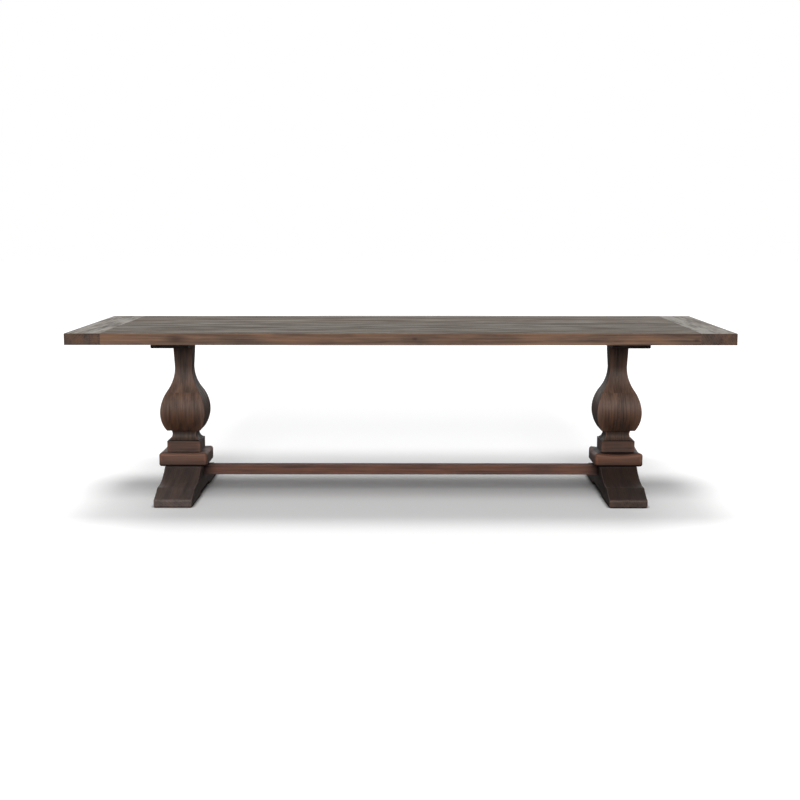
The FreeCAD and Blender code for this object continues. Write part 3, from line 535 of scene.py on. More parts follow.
def stained_pine(name, axis, dark, light, figure=1.0, patch_width=34 * MM, arris_rub_and_highlight=0.45, end_stain=0.35,
                 under_shade=0.0, drowned=0.0, end_gloss=1.0, roughness=(0.46, 0.58), bloom=None,
                 bloom_and_light_share=0.0, bloom_and_light_spread=0.5, bloom_and_light_facing=(0.6, 0.95), knots=()):
    """Old pine, planed, wire-brushed and stained: streaked brown with dark grain, and matt.

    Late wood stands up as dark lines along the board, end grain drinks more stain and is darker, crevices and
    undersides carry painted shade, handled arrises are rubbed lighter and carry a painted highlight, and upper
    faces may carry a grey bloom, on the balusters painted light instead.
    Fibres are finer on real pine than drawn here: 2 mm is the least that shows.

    The grain runs along the axis, and figure is how strongly it shows. end_stain is the share of darkening on
    end grain, and under_shade the share of painted shade on undersides. arris_rub_and_highlight is how much
    lighter marked arrises are, rubbed and painted as a highlight. Where a board has drunk much stain, drowned is
    how much of its figure and gloss is lost. end_gloss is the share of gloss on faces turned to the table's ends.
    The bloom is a grey veil on upper faces, and on the balusters painted light on their upward slopes. It has
    its colour, its greatest share, its spread from thin to thick, and the upward turn of a face at which it
    starts and is full.
    """
    material, tree = new_material(name)
    place = add(tree, "TexCoord", out="Object")
    geometry = add(tree, "NewGeometry").node.outputs
    upward = add(tree, "SeparateXYZ", [geometry["Normal"]], out="Z")
    turned = add(tree, "SeparateXYZ", [geometry["True Normal"]]).node.outputs
    facing = {letter: add(tree, "Math", [turned[letter]], operation="ABSOLUTE") for letter in AXES}
    board, tone, warmth, worn = [
        add(tree, "Attribute", out="Fac", attribute_name=mark) for mark in (*FACE_MARKS, "arris")]

    # Grain changes slowly into the depth of a long face, so that its lines run on over a slope
    shares = {axis: 1.0}
    for letter in AXES.replace(axis, ""):
        square = add(tree, "Math", [facing[letter], FACE_ON], operation="GREATER_THAN")
        shares[letter] = add(tree, "MapRange", [square, 0.0, 1.0, 1.0, DEPTH_SHARE])
    share = add(tree, "CombineXYZ", shares)
    shift = add(tree, "VectorMath", {0: BOARD_SHIFT, "Scale": board}, operation="SCALE")
    log = add(tree, "VectorMath", [place, share, shift], operation="MULTIPLY_ADD")

    def along_grain(factor):
        return [factor if letter == axis else 1.0 for letter in AXES]

    ring_inputs = {"Scale": WAVE_PERIOD / RING_SPACING, "Distortion": 7.0, "Detail": 3.0,
                   "Detail Scale": 0.22, "Detail Roughness": 0.55}
    ring_settings = {"wave_type": "RINGS", "rings_direction": axis, "wave_profile": "SIN"}
    streak_inputs = {"Scale": 1 / STREAK_WIDTH, "Detail": 5.0, "Roughness": 0.62, "Distortion": 0.25}
    patch_inputs = {"Scale": 1 / patch_width, "Detail": 5.0, "Roughness": 0.58}
    fibre_inputs = {"Scale": 1 / FIBRE_WIDTH, "Detail": 2.0, "Roughness": 0.7}
    patterns = []
    grain = 0.0
    for kind, stretch, weight, inputs, settings in (
            ("TexWave", RING_STRETCH, RING_WEIGHT, ring_inputs, ring_settings),
            ("TexNoise", STREAK_STRETCH, STREAK_WEIGHT, streak_inputs, {}),
            ("TexNoise", PATCH_STRETCH, PATCH_WEIGHT, patch_inputs, {}),
            ("TexNoise", FIBRE_STRETCH, FIBRE_WEIGHT, fibre_inputs, {})):
        inputs["Vector"] = add(tree, "Mapping", {"Vector": log, "Scale": along_grain(1 / stretch)})
        patterns.append(add(tree, kind, inputs, out="Fac", **settings))
        grain = add(tree, "Math", [patterns[-1], weight, grain], operation="MULTIPLY_ADD")
    streaks, patches, fibres = patterns[1:]

    spread = GRAIN_SPREAD / figure
    lightness = add(tree, "MapRange", [grain, GRAIN_MIDDLE - spread, GRAIN_MIDDLE + spread],
                    interpolation_type="SMOOTHSTEP")
    figured = add(tree, "MapRange", [tone, *DROWNED_SPAN, 1 - drowned, 1.0])
    lightness = add(tree, "MapRange", [figured, 0.0, 1.0, PLAIN, lightness])
    shade = add(tree, "Mix", {FACTOR: lightness, FIRST: opaque(dark), SECOND: opaque(light)},
                out=MIXED, data_type="RGBA")
    brightness = add(tree, "MapRange", [tone, *TONE_SPAN, *TONE_BRIGHTNESS])
    # Undersides are darkened as painted shade
    shaded = add(tree, "MapRange", [upward, *UNDER_SPAN, 1 - under_shade])
    brightness = add(tree, "Math", [brightness, shaded], operation="MULTIPLY")
    ageing = add(tree, "Math", [warmth, WARMTH_WEIGHT, patches], operation="MULTIPLY_ADD")
    redness = add(tree, "MapRange", [ageing, *AGEING_SPAN, *AGEING_COLOUR])
    shade = add(tree, "HueSaturation", {"Saturation": redness, "Value": brightness, "Color": shade})

    # What lies over the stained wood, as shares and colours
    layers = []
    # A grey bloom on upper faces, and on the balusters painted light where they slope upward
    if bloom is not None:
        upturn_share = add(tree, "MapRange", [upward, *bloom_and_light_facing])
        uneven = add(tree, "MapRange", [patches, *VEIL_SPAN, *VEIL_COVER])
        veil = add(tree, "Math", [upturn_share, uneven], operation="MULTIPLY")
        veil = add(tree, "Math", [veil, bloom_and_light_share], operation="MULTIPLY")
        veil_grain_share = add(tree, "MapRange", [grain, GRAIN_MIDDLE - VEIL_GRAIN, GRAIN_MIDDLE + VEIL_GRAIN],
                        interpolation_type="SMOOTHSTEP")
        veil_colour = add(tree, "Mix", {
            FACTOR: veil_grain_share, FIRST: opaque(bloom, 1 - bloom_and_light_spread),
            SECOND: opaque(bloom, 1 + bloom_and_light_spread)}, out=MIXED, data_type="RGBA")
        patchiness = VEIL_PATCHINESS * bloom_and_light_spread
        by_board = add(tree, "MapRange", [tone, *TONE_SPAN, *TONE_VEIL])
        by_patch = add(tree, "MapRange", [patches, *PATCH_SPAN, 1 - patchiness, 1 + patchiness])
        thickness = add(tree, "Math", [by_board, by_patch], operation="MULTIPLY")
        veil_colour = add(tree, "HueSaturation", {"Value": thickness, "Color": veil_colour})
        layers.append((veil, veil_colour))
    end_grain = add(tree, "MapRange", [facing[axis], *END_SPAN, 0.0, end_stain])
    layers.append((end_grain, opaque(dark)))
    for middle, radius in knots:
        offset = add(tree, "VectorMath", [place, middle], operation="SUBTRACT")
        offset = add(tree, "VectorMath", [offset, along_grain(KNOT_SQUEEZE)], operation="MULTIPLY")
        away = add(tree, "VectorMath", [offset], out="Value", operation="LENGTH")
        away = add(tree, "Math", [streaks, radius, away], operation="MULTIPLY_ADD")
        edges = [radius * reach for reach in KNOT_SPAN]
        knot = add(tree, "MapRange", [away, *edges, KNOT_STAIN, 0.0], interpolation_type="SMOOTHSTEP")
        layers.append((knot, opaque(dark)))
    # Marked arrises are rubbed lighter by use, and painted lighter as a highlight on their rounding
    rubbed = add(tree, "Math", [worn, arris_rub_and_highlight], operation="MULTIPLY")
    rubbed = add(tree, "Math", [rubbed, streaks], operation="MULTIPLY")
    layers.append((rubbed, opaque(light, RUB_AND_HIGHLIGHT_PALE)))
    # Painted shade in crevices, found by how open they are, and darkening where the marks fall below 0: grime in
    # seams and joints, and painted shade in most other places
    openness = add(tree, "AmbientOcclusion", {"Distance": CREVICE_DEPTH}, out="AO", samples=GAP_SAMPLES)
    stained = add(tree, "MapRange", [openness, *CREVICE_SPAN, CREVICE_SHADE, 0.0])
    grime_and_shade = add(tree, "Math", [worn, -1.0], operation="MULTIPLY")
    stained = add(tree, "Math", [stained, grime_and_shade], operation="MAXIMUM")
    layers.append((stained, opaque(dark, SHADE_AND_GRIME)))
    for share, layer in layers:
        shade = add(tree, "Mix", {FACTOR: share, FIRST: shade, SECOND: layer}, out=MIXED, data_type="RGBA")

    # Pale patches shine most, faces turned to the table's ends are handled less, and where stain was drunk no
    # polish stays
    dullness = add(tree, "MapRange", [patches, *PATCH_SPAN, roughness[1], roughness[0]])
    polish = add(tree, "MapRange", [facing["X"], 0.0, 1.0, GLOSS, GLOSS * end_gloss])
    polish = add(tree, "Math", [polish, figured], operation="MULTIPLY")
    height = add(tree, "Math", [fibres, FIBRE_RELIEF, grain], operation="MULTIPLY_ADD")
    bump = add(tree, "Bump", {"Height": height, "Strength": 0.4, "Distance": RELIEF})
    surface = add(tree, "BsdfPrincipled", {
        "Base Color": shade, "Roughness": dullness, "IOR": 1.45, "Specular IOR Level": polish,
        "Normal": bump})
    add(tree, "OutputMaterial", {"Surface": surface})
    return material


FLECK_WIDTH = 1.5 * MM
FLECK_RELIEF = 0.1 * MM
CRYSTAL_WIDTH = 2.5 * MM
CRYSTAL_DULLNESS = 0.7
GRIT_WIDTH = 0.8 * MM
GRIT_RELIEF = 0.05 * MM
SCUFF_STRENGTH = 2.2


def bare_beech(shades):
    """Beech dowels, pegs and splines, unfinished: pale, close-grained and flecked."""
    material, tree = new_material("bare_beech")
    place = add(tree, "TexCoord", out="Object")
    flecks = add(tree, "TexNoise", {
        "Vector": place, "Scale": 1 / FLECK_WIDTH, "Detail": 3.0, "Roughness": 0.6}, out="Fac")
    shade = add(tree, "Mix", {
        FACTOR: flecks, FIRST: opaque(shades.bare_dark), SECOND: opaque(shades.bare_light)},
        out=MIXED, data_type="RGBA")
    bump = add(tree, "Bump", {"Height": flecks, "Strength": 0.2, "Distance": FLECK_RELIEF})
    surface = add(tree, "BsdfPrincipled", {
        "Base Color": shade, "Roughness": 0.7, "IOR": 1.45, "Normal": bump})
    add(tree, "OutputMaterial", {"Surface": surface})
    return material


def zinc_plated_steel(shades):
    """Cold-formed steel fasteners with zinc plating: grey metal with a faint crystal mottle."""
    material, tree = new_material("zinc_plated_steel")
    place = add(tree, "TexCoord", out="Object")
    crystals = add(tree, "TexVoronoi", {"Vector": place, "Scale": 1 / CRYSTAL_WIDTH}, out="Distance")
    shade = add(tree, "Mix", {
        FACTOR: crystals, FIRST: opaque(shades.zinc), SECOND: opaque(shades.zinc, CRYSTAL_DULLNESS)},
        out=MIXED, data_type="RGBA")
    roughness = add(tree, "MapRange", {"Value": crystals, "To Min": 0.3, "To Max": 0.5})
    surface = add(tree, "BsdfPrincipled", {"Base Color": shade, "Metallic": 1.0, "Roughness": roughness})
    add(tree, "OutputMaterial", {"Surface": surface})
    return material


def black_nylon(shades):
    """Moulded nylon glides: dull black with a fine spark-eroded texture and floor scuffs."""
    material, tree = new_material("black_nylon")
    place = add(tree, "TexCoord", out="Object")
    grit = add(tree, "TexNoise", {"Vector": place, "Scale": 1 / GRIT_WIDTH}, out="Fac")
    shade = add(tree, "Mix", {
        FACTOR: grit, FIRST: opaque(shades.nylon), SECOND: opaque(shades.nylon, SCUFF_STRENGTH)},
        out=MIXED, data_type="RGBA")
    bump = add(tree, "Bump", {"Height": grit, "Strength": 0.3, "Distance": GRIT_RELIEF})
    surface = add(tree, "BsdfPrincipled", {
        "Base Color": shade, "Roughness": 0.55, "IOR": 1.53, "Normal": bump})
    add(tree, "OutputMaterial", {"Surface": surface})
    return material


# Top

PLANK_PITCH = Vector((25, 28, 12)) * MM
# Middles and radii of the knots that show in the front edge
FRONT_KNOTS = (
    ((-0.93, -0.5, 0.735), 30 * MM),
    ((0.06, -0.5, 0.738), 9 * MM),
    ((1.231, -0.5, 0.732), 9 * MM),
)
SEAM_GRIME = -0.6


def joint_faces(bm, sizes, low, high, stop, *ends):
    """Cuts the outline of a tongue or groove into a board, and returns the faces inside it at each end."""
    middle = (low.z + high.z) / 2
    half = sizes.tongue_thickness / 2
    cut(bm, 2, middle - half, middle + half)
    cut(bm, 1, -stop, stop)
    found = {end: [] for end in ends}
    for face in bm.faces:
        centre = face.calc_center_median()
        for end in ends:
            if abs(centre.x - end) < TOUCHING and abs(centre.z - middle) < half and abs(centre.y) < stop:
                found[end].append(face)
    return found


class TABLE_OT_top_planks(bpy.types.Operator):
    """Six planks with bevelled seams, and tongues that reach into the breadboard ends"""
    bl_idname = "table.top_planks"
    bl_label = "Top Planks"

    def execute(self, context):
        sizes = context.scene.table_boards
        shades = context.scene.table_colours
        material = stained_pine(
            "stained_pine_top_planks", "X", shades.top_dark, shades.top_light,
            figure=0.75, patch_width=38 * MM, roughness=(0.5, 0.8), bloom=shades.top_bloom, bloom_and_light_share=0.95,
            bloom_and_light_spread=0.42, knots=FRONT_KNOTS)
        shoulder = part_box("breadboard_end_right")[0].x
        stop = CAD_BOX[1].y - sizes.tongue_stop
        for number in PLANKS:
            node = f"top_plank_{number}"
            low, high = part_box(node)
            reach = high.x
            low.x = -shoulder
            high.x = shoulder
            bm = block(low, high, PLANK_PITCH)
            for end, tongue in joint_faces(bm, sizes, low, high, stop, low.x, high.x).items():
                draw_out(bm, tongue, (math.copysign(reach, end) - end, 0, 0))
            outer = [y for y in (low.y, high.y) if abs(abs(y) - CAD_BOX[1].y) < TOUCHING]
            inner = [y for y in (low.y, high.y) if y not in outer]
            seams = [edge for edge in bm.edges if lies_at(edge, 2, high.z)
                     and (on_side(edge, low, high, 0) or any(lies_at(edge, 1, y) for y in inner))]
            ease(bm, seams, sizes.seam_bevel, rubbed=SEAM_GRIME)
            arrises = [edge for edge in bm.edges if on_side(edge, low, high, 2)
                       and any(lies_at(edge, 1, y) for y in outer)]
            if arrises:
                ease(bm, arrises, sizes.arris_radius)
            wear(bm, sizes)
            saw_from(bm, lambda centre: node)
            piece(f"plank_{number}", bm, material, "top_wood", node)
        return {"FINISHED"}


BREADBOARD_PITCH = Vector((30, 25, 12)) * MM
# Glue lines between staves, as shares of a breadboard end's width from its left side
GLUE_LINES = {"left": (0.21, 0.56, 0.73), "right": (0.52,)}


class TABLE_OT_breadboard_ends(bpy.types.Operator):
    """Two breadboard ends glued up from staves, grooved for the tongues and bored for the draw pegs"""
    bl_idname = "table.breadboard_ends"
    bl_label = "Breadboard Ends"

    def execute(self, context):
        sizes = context.scene.table_boards
        shades = context.scene.table_colours
        material = stained_pine(
            "stained_pine_breadboards", "Y", shades.top_dark, shades.top_light,
            figure=0.8, roughness=(0.58, 0.74), bloom=shades.end_bloom, bloom_and_light_share=0.85, bloom_and_light_spread=0.35)
        tongue_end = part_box("top_plank_2")[1].x + sizes.tongue_clearance
        pegs = solids_of("breadboard_pegs")
        for side in SIDES:
            node = f"breadboard_end_{side}"
            low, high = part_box(node)
            hand = math.copysign(1, low.x)
            shoulder = min(low.x, high.x, key=abs)
            outer = max(low.x, high.x, key=abs)
            stop = high.y - sizes.tongue_stop + sizes.tongue_clearance
            glue_lines = [low.x + share * (high.x - low.x) for share in GLUE_LINES[side]]
            bm = block(low, high, BREADBOARD_PITCH)
            cut(bm, 0, *glue_lines)
            groove = joint_faces(bm, sizes, low, high, stop, shoulder)[shoulder]
            draw_out(bm, groove, (hand * tongue_end - shoulder, 0, 0))
            seam = [edge for edge in bm.edges if lies_at(edge, 0, shoulder) and lies_at(edge, 2, high.z)]
            ease(bm, seam, sizes.seam_bevel, rubbed=SEAM_GRIME)
            arrises = []
            for edge in bm.edges:
                ends = on_side(edge, low, high, 1)
                levels = on_side(edge, low, high, 2)
                if lies_at(edge, 0, outer) and (ends or levels) or ends and levels:
                    arrises.append(edge)
            ease(bm, arrises, sizes.arris_radius)
            wear(bm, sizes)
            saw_from(bm, lambda centre: f"{node} stave {sum(centre.x > line for line in glue_lines)}")
            made = piece(f"breadboard_{side}", bm, material, "top_wood", node)
            bores = []
            for peg in pegs:
                size = peg[1] - peg[0]
                if peg[0].x * hand > 0:
                    bores.append(bore_over(peg, 2, low.z, size.z, size.x + 2 * sizes.bore_clearance))
            bore(made, bores)
        return {"FINISHED"}


BEARER_PITCH = Vector((40, 40, 25)) * MM


class TABLE_OT_bearers(bpy.types.Operator):
    """Two bearers under the top, chamfered at the ends, with recesses for the screws"""
    bl_idname = "table.bearers"
    bl_label = "Bearers"

    def execute(self, context):
        sizes = context.scene.table_boards
        shades = context.scene.table_colours
        material = stained_pine("stained_pine_bearers", "Y", shades.bearer_dark, shades.bearer_light)
        for side in SIDES:
            node = f"top_bearer_{side}"
            low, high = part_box(node)
            bm = block(low, high, BEARER_PITCH)
            ends = [edge for edge in bm.edges if lies_at(edge, 2, low.z) and on_side(edge, low, high, 1)]
            ease(bm, ends, sizes.bearer_chamfer, segments=1)
            sides = [edge for edge in bm.edges if lies_at(edge, 2, low.z) and on_side(edge, low, high, 0)]
            ease(bm, sides, sizes.bearer_round)
            saw_from(bm, lambda centre: node)
            made = piece(f"bearer_{side}", bm, material, "bearer_wood", node)
            bores = []
            for screw in solids_of(f"bearer_screws_{side}"):
                head = screw[1].x - screw[0].x + 2 * sizes.bore_clearance
                bores.append(bore_over(screw, 2, low.z, sizes.screw_recess, head))
            bore(made, bores)
        return {"FINISHED"}


# Balusters

# Steps of a long arc, and of the shorter runs up the vase
ARC_STEPS = 12
SCOTIA_STEPS = 8
SHOULDER_STEPS = 2
NECK_STEPS = 3
CROWN_STEPS = 4
BILLET_CELLS = 7
# An edge under a billet that turns further than this is its rim
RIM_ANGLE = math.radians(30)
# Marks beside an arris, rubbed lighter and painted as a highlight, and in the scotia from painted shade at its
# foot to painted light at its lip
BAND_RUB_AND_HIGHLIGHT = 0.9
SCOTIA_MARKS = (-0.25, 0.3)


def arc_stations(centre, start, end, steps=ARC_STEPS):
    """Points of half width and height along the shorter arc about a centre, past its start."""
    first = math.atan2(start.y - centre.y, start.x - centre.x)
    last = math.atan2(end.y - centre.y, end.x - centre.x)
    turn = math.remainder(last - first, math.tau)
    radius = (start - centre).length
    angles = [first + turn * step / steps for step in range(1, steps + 1)]
    return [centre + radius * Vector((math.cos(angle), math.sin(angle))) for angle in angles]


def vase_stations(sizes, bulb_width, height):
    """The vase from the die up, as half widths and heights."""
    foot = Vector((sizes.scotia_foot_width / 2, 0))
    lip = Vector((sizes.scotia_top_width / 2, sizes.scotia_height))
    chord = lip - foot
    scotia_radius = (chord.length ** 2 / 4 + sizes.scotia_depth ** 2) / (2 * sizes.scotia_depth)
    outward = Vector((chord.y, -chord.x)).normalized()
    scotia_centre = (foot + lip) / 2 + outward * (scotia_radius - sizes.scotia_depth)

    belly = Vector((bulb_width / 2, sizes.belly_rise))
    under_centre = belly - Vector((sizes.under_radius, 0))
    drop = belly.y - lip.y
    bulb_foot = Vector((under_centre.x + math.sqrt(sizes.under_radius ** 2 - drop ** 2), lip.y))

    neck = Vector((sizes.neck_width / 2, height - sizes.neck_drop))
    flare = belly.x - neck.x
    rise = neck.y - belly.y
    ogee_radius = (flare ** 2 + rise ** 2) / (4 * flare)
    bulb_centre = belly - Vector((ogee_radius, 0))
    throat_centre = neck + Vector((ogee_radius, 0))
    waist = (bulb_centre + throat_centre) / 2
    core = sizes.core_width / 2
    glue_line = Vector((core, bulb_centre.y + math.sqrt(ogee_radius ** 2 - (core - bulb_centre.x) ** 2)))

    crown = Vector((sizes.top_width / 2, height))
    neck_centre = neck + Vector((sizes.neck_radius, 0))
    reach = crown - neck_centre
    swing = math.acos(sizes.neck_radius / reach.length)
    aim = math.atan2(reach.y, reach.x) + swing
    touch = neck_centre + sizes.neck_radius * Vector((math.cos(aim), math.sin(aim)))

    stations = [foot]
    stations += arc_stations(scotia_centre, foot, lip, SCOTIA_STEPS)
    stations.append(bulb_foot)
    stations += arc_stations(under_centre, bulb_foot, belly)
    stations += arc_stations(bulb_centre, belly, glue_line)
    stations += arc_stations(bulb_centre, glue_line, waist, SHOULDER_STEPS)
    stations += arc_stations(throat_centre, waist, neck)
    stations += arc_stations(neck_centre, neck, touch, NECK_STEPS)
    stations += [touch.lerp(crown, step / CROWN_STEPS) for step in range(1, CROWN_STEPS + 1)]
    return stations


def faced(place, quarter):
    """How far a place in an unturned billet lies out to the table's ends, and out to its front or back."""
    return (place.x, -place.y) if quarter % 2 == 0 else (-place.y, place.x)


class TABLE_OT_balusters(bpy.types.Operator):
    """Two square vase balusters, each glued up from four billets and faced round the bulb"""
    bl_idname = "table.balusters"
    bl_label = "Balusters"

    def execute(self, context):
        sizes = context.scene.table_baluster
        boards = context.scene.table_boards
        shades = context.scene.table_colours
        # The balusters get painted light on their upward slopes, painted shade on their undersides, and a painted
        # highlight on rubbed arrises
        material = stained_pine(
            "stained_pine_balusters", "Z", shades.baluster_dark, shades.baluster_light,
            figure=0.72, patch_width=20 * MM, arris_rub_and_highlight=1.1, under_shade=0.4, drowned=0.8, end_gloss=0.28,
            roughness=(0.4, 0.5), bloom=shades.baluster_bloom, bloom_and_light_share=0.36, bloom_and_light_spread=0.2,
            bloom_and_light_facing=(0.05, 0.4))
        for side in SIDES:
            die_low, die_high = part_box(f"{side}_die_block")
            axis = (die_low.x + die_high.x) / 2
            for quarter, name in enumerate(QUARTERS):
                node = f"{side}_baluster_{name}"
                low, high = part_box(node)
                bulb_width = 2 * (high.x - low.x)
                bm = self.saw_billet(vase_stations(sizes, bulb_width, high.z - low.z))
                self.soften(bm, boards)
                self.mark_use(bm, boards, sizes, quarter)
                saw_from(bm, lambda centre: self.board_of(node, sizes, quarter, centre))
                turn = Matrix.Rotation(math.radians(90 * quarter), 3, "Z")
                bmesh.ops.rotate(bm, cent=(0, 0, 0), matrix=turn, verts=bm.verts)
                bmesh.ops.translate(bm, vec=(axis, 0, low.z), verts=bm.verts)
                piece(f"{side}_billet_{name}", bm, material, "baluster_wood", node)
        return {"FINISHED"}

    def saw_billet(self, stations):
        """The front right quarter, drawn up from its base and widened or narrowed at each station."""
        bm = new_bmesh()
        bmesh.ops.create_grid(bm, x_segments=BILLET_CELLS, y_segments=BILLET_CELLS, size=0.5)
        bmesh.ops.translate(bm, vec=(0.5, -0.5, 0), verts=bm.verts)
        base = stations[0].x
        bmesh.ops.scale(bm, vec=(base, base, 1), verts=bm.verts)
        cap = bm.faces[:]
        for below, above in zip(stations, stations[1:]):
            cap, verts = draw_out(bm, cap, (0, 0, above.y - below.y))
            widen = above.x / below.x
            bmesh.ops.scale(bm, vec=(widen, widen, 1), verts=verts)
        return bm

    def soften(self, bm, boards):
        """Rounds the outer arris and opens a hairline along the glued seams."""
        bm.normal_update()
        arris = []
        seams = []
        for edge in bm.edges:
            if len(edge.link_faces) != 2:
                raise RuntimeError("a billet is not closed")
            corner = all(abs(vert.co.x + vert.co.y) < TOUCHING < vert.co.x for vert in edge.verts)
            sharp = edge.calc_face_angle() > SHARP
            glued = lies_at(edge, 0, 0) != lies_at(edge, 1, 0)
            upright = abs(edge.verts[0].co.z - edge.verts[1].co.z) > TOUCHING
            if sharp and corner:
                arris.append(edge)
            elif sharp and glued and upright:
                seams.append(edge)
        ease(bm, arris, boards.arris_radius * SLENDER, border=BAND_RUB_AND_HIGHLIGHT)
        ease(bm, [edge for edge in seams if edge.is_valid], boards.glue_seam, segments=1)
        # The billet's foot is eased and darkened where it stands on the die: a dark joint, and painted shade
        rim = [edge for edge in bm.edges if lies_at(edge, 2, 0) and not edge.is_boundary
               and edge.calc_face_angle() > RIM_ANGLE and not (lies_at(edge, 0, 0) or lies_at(edge, 1, 0))]
        ease(bm, rim, boards.seam_bevel, segments=2, rubbed=-0.9, border=-0.5)
        wear(bm, boards)

    def mark_use(self, bm, boards, sizes, quarter):
        """Marks the scotia from painted shade low down to painted light at its lip, and a band beside the arris
        on the front or back face, rubbed lighter and painted as a highlight.
        """
        worn = bm.verts.layers.float["arris"]
        foot, lip = SCOTIA_MARKS
        for vert in bm.verts:
            across, out = faced(vert.co, quarter)
            away = out - across
            if vert.co.z < sizes.scotia_height - TOUCHING:
                vert[worn] += foot + (lip - foot) * vert.co.z / sizes.scotia_height
            elif TOUCHING < away < min(boards.rub_width, out / 2):
                vert[worn] = max(vert[worn], BAND_RUB_AND_HIGHLIGHT * (1 - away / boards.rub_width))

    def board_of(self, node, sizes, quarter, centre):
        """Outside the core, the front and the side of the bulb are facings of their own."""
        if centre.z < sizes.scotia_height:
            return f"{node} scotia"
        across, out = faced(centre, quarter)
        if max(across, out) <= sizes.core_width / 2:
            return f"{node} core"
        return f"{node} front" if out > across else f"{node} side"


# Dies and plinths

DIE_PITCH = Vector((18, 18, 16)) * MM
# Painted shade on the die's top, under the scotia
LEDGE_SHADE = -0.8
PLINTH_PITCH = Vector((18, 18, 30)) * MM
# From a plinth's middle out to its side, where its wear begins beside the die, and where its rim begins
DIE_SHARE = 0.64
RIM_START = 0.86
# Darkening of the top behind a dished rim and of the rim's rounding for each metre of wear, how far down that
# wear reaches in rim radii, and how much of it each plinth has
DISH_DARKENING = 90
DISH_REACH = 3
WEAR_SHARES = {"left": 0.25, "right": 1.0}


class TABLE_OT_die_blocks(bpy.types.Operator):
    """The plain square block under each baluster"""
    bl_idname = "table.die_blocks"
    bl_label = "Die Blocks"

    def execute(self, context):
        sizes = context.scene.table_boards
        material = block_pine(context)
        for side in SIDES:
            node = f"{side}_die_block"
            low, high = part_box(node)
            bm = block(low, high, DIE_PITCH)
            ease(bm, upright_edges(bm, low, high), sizes.arris_radius, border=0.5)
            # The rim under the scotia is eased and darkened, and the top darkened: a dark joint, and painted
            # shade
            rim = [edge for edge in bm.edges if lies_at(edge, 2, high.z) and edge.calc_face_angle() > SHARP]
            ease(bm, rim, sizes.seam_bevel, segments=2, rubbed=-0.9, border=-0.15)
            worn = bm.verts.layers.float["arris"]
            for vert in bm.verts:
                if vert.co.z > high.z - TOUCHING:
                    vert[worn] = LEDGE_SHADE
            wear(bm, sizes)
            saw_from(bm, lambda centre: node)
            piece(f"{side}_die", bm, material, "plinth_wood", node)
        return {"FINISHED"}


def upright_edges(bm, low, high):
    return [edge for edge in bm.edges if runs_along(edge, 2)
            and on_side(edge, low, high, 0) and on_side(edge, low, high, 1)]


def block_pine(context):
    shades = context.scene.table_colours
    # Dies and plinths get painted shade on their undersides and a painted highlight on rubbed arrises
    return stained_pine(
        "stained_pine_blocks", "X", shades.block_dark, shades.block_light, figure=0.55, arris_rub_and_highlight=1.2,
        under_shade=0.5)


class TABLE_OT_plinths(bpy.types.Operator):
    """The cushion plinth under each die, rounded all round and dished by use"""
    bl_idname = "table.plinths"
    bl_label = "Cushion Plinths"

    def execute(self, context):
        sizes = context.scene.table_foot
        boards = context.scene.table_boards
        material = block_pine(context)
        for side in SIDES:
            node = f"{side}_plinth"
            low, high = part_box(node)
            bm = block(low, high, PLINTH_PITCH)
            # The upper and upright edges are rounded, rubbed lighter and painted with a highlight along the rim
            rim = [edge for edge in bm.edges if lies_at(edge, 2, high.z)
                   and (on_side(edge, low, high, 0) or on_side(edge, low, high, 1))]
            ease(bm, upright_edges(bm, low, high) + rim, sizes.plinth_round, segments=6, border=0.4)
            # The lower edges are rounded and darkened as painted shade
            foot = [edge for edge in bm.edges if lies_at(edge, 2, low.z) and edge.calc_face_angle() > SHARP]
            ease(bm, foot, sizes.plinth_foot_round, segments=5, rubbed=-1.0, border=-0.5)
            self.dish(bm, low, high, sizes.plinth_wear * WEAR_SHARES[side], sizes.plinth_round)
            wear(bm, boards)
            saw_from(bm, lambda centre: node)
            piece(f"{side}_cushion_plinth", bm, material, "plinth_wood", node)
        return {"FINISHED"}

    def dish(self, bm, low, high, depth, rounding):
        """Lowers the rim between its corners, where resting feet wear it, and darkens the top behind it and its
        rounding.
        """
        worn = bm.verts.layers.float["arris"]
        middle = (low + high) / 2
        half = (high - low) / 2
        for vert in bm.verts:
            along = abs(vert.co.x - middle.x) / half.x
            back = abs(vert.co.y - middle.y) / half.y
            hollow = max((1 - along ** 2) * rim_share(back), (1 - back ** 2) * rim_share(along))
            if vert.co.z > high.z - TOUCHING and max(along, back) < RIM_START:
                vert[worn] = -DISH_DARKENING * depth
            else:
                vert[worn] -= DISH_DARKENING * depth * hollow * near_top(vert.co.z, high.z, rounding)
            vert.co.z -= depth * hollow * near_top(vert.co.z, high.z, DISH_REACH * rounding)


def near_top(z, top, reach):
    """How near the top a height is, from 0 at the reach below it to 1."""
    return min(1.0, max(0.0, 1 - (top - z) / reach))


def rim_share(out):
    """How far out a place is, from 0 where wear begins beside the die to 1 at the side."""
    return max(0.0, out - DIE_SHARE) / (1 - DIE_SHARE)


# Feet

FOOT_CUTS = 9


def line_to(bm, vert, y, z):
    """Draws a straight edge from a vertex, and returns its far end."""
    end = bmesh.ops.extrude_vert_indiv(bm, verts=[vert])["verts"][0]
    end.co.y = y
    end.co.z = z
    return end


def arc_to(bm, vert, centre, y, z, steps=ARC_STEPS):
    """Draws the shorter arc from a vertex about a centre, and returns its far end."""
    start = vert.co - centre
    finish = Vector((vert.co.x, y, z)) - centre
    angle = math.atan2(start.cross(finish).x, start.dot(finish))
    swept = bmesh.ops.spin(
        bm, geom=[vert], cent=centre, axis=(1, 0, 0), dvec=(0, 0, 0), angle=angle, steps=steps,
        use_merge=False)
    return next(item for item in swept["geom_last"] if isinstance(item, bmesh.types.BMVert))


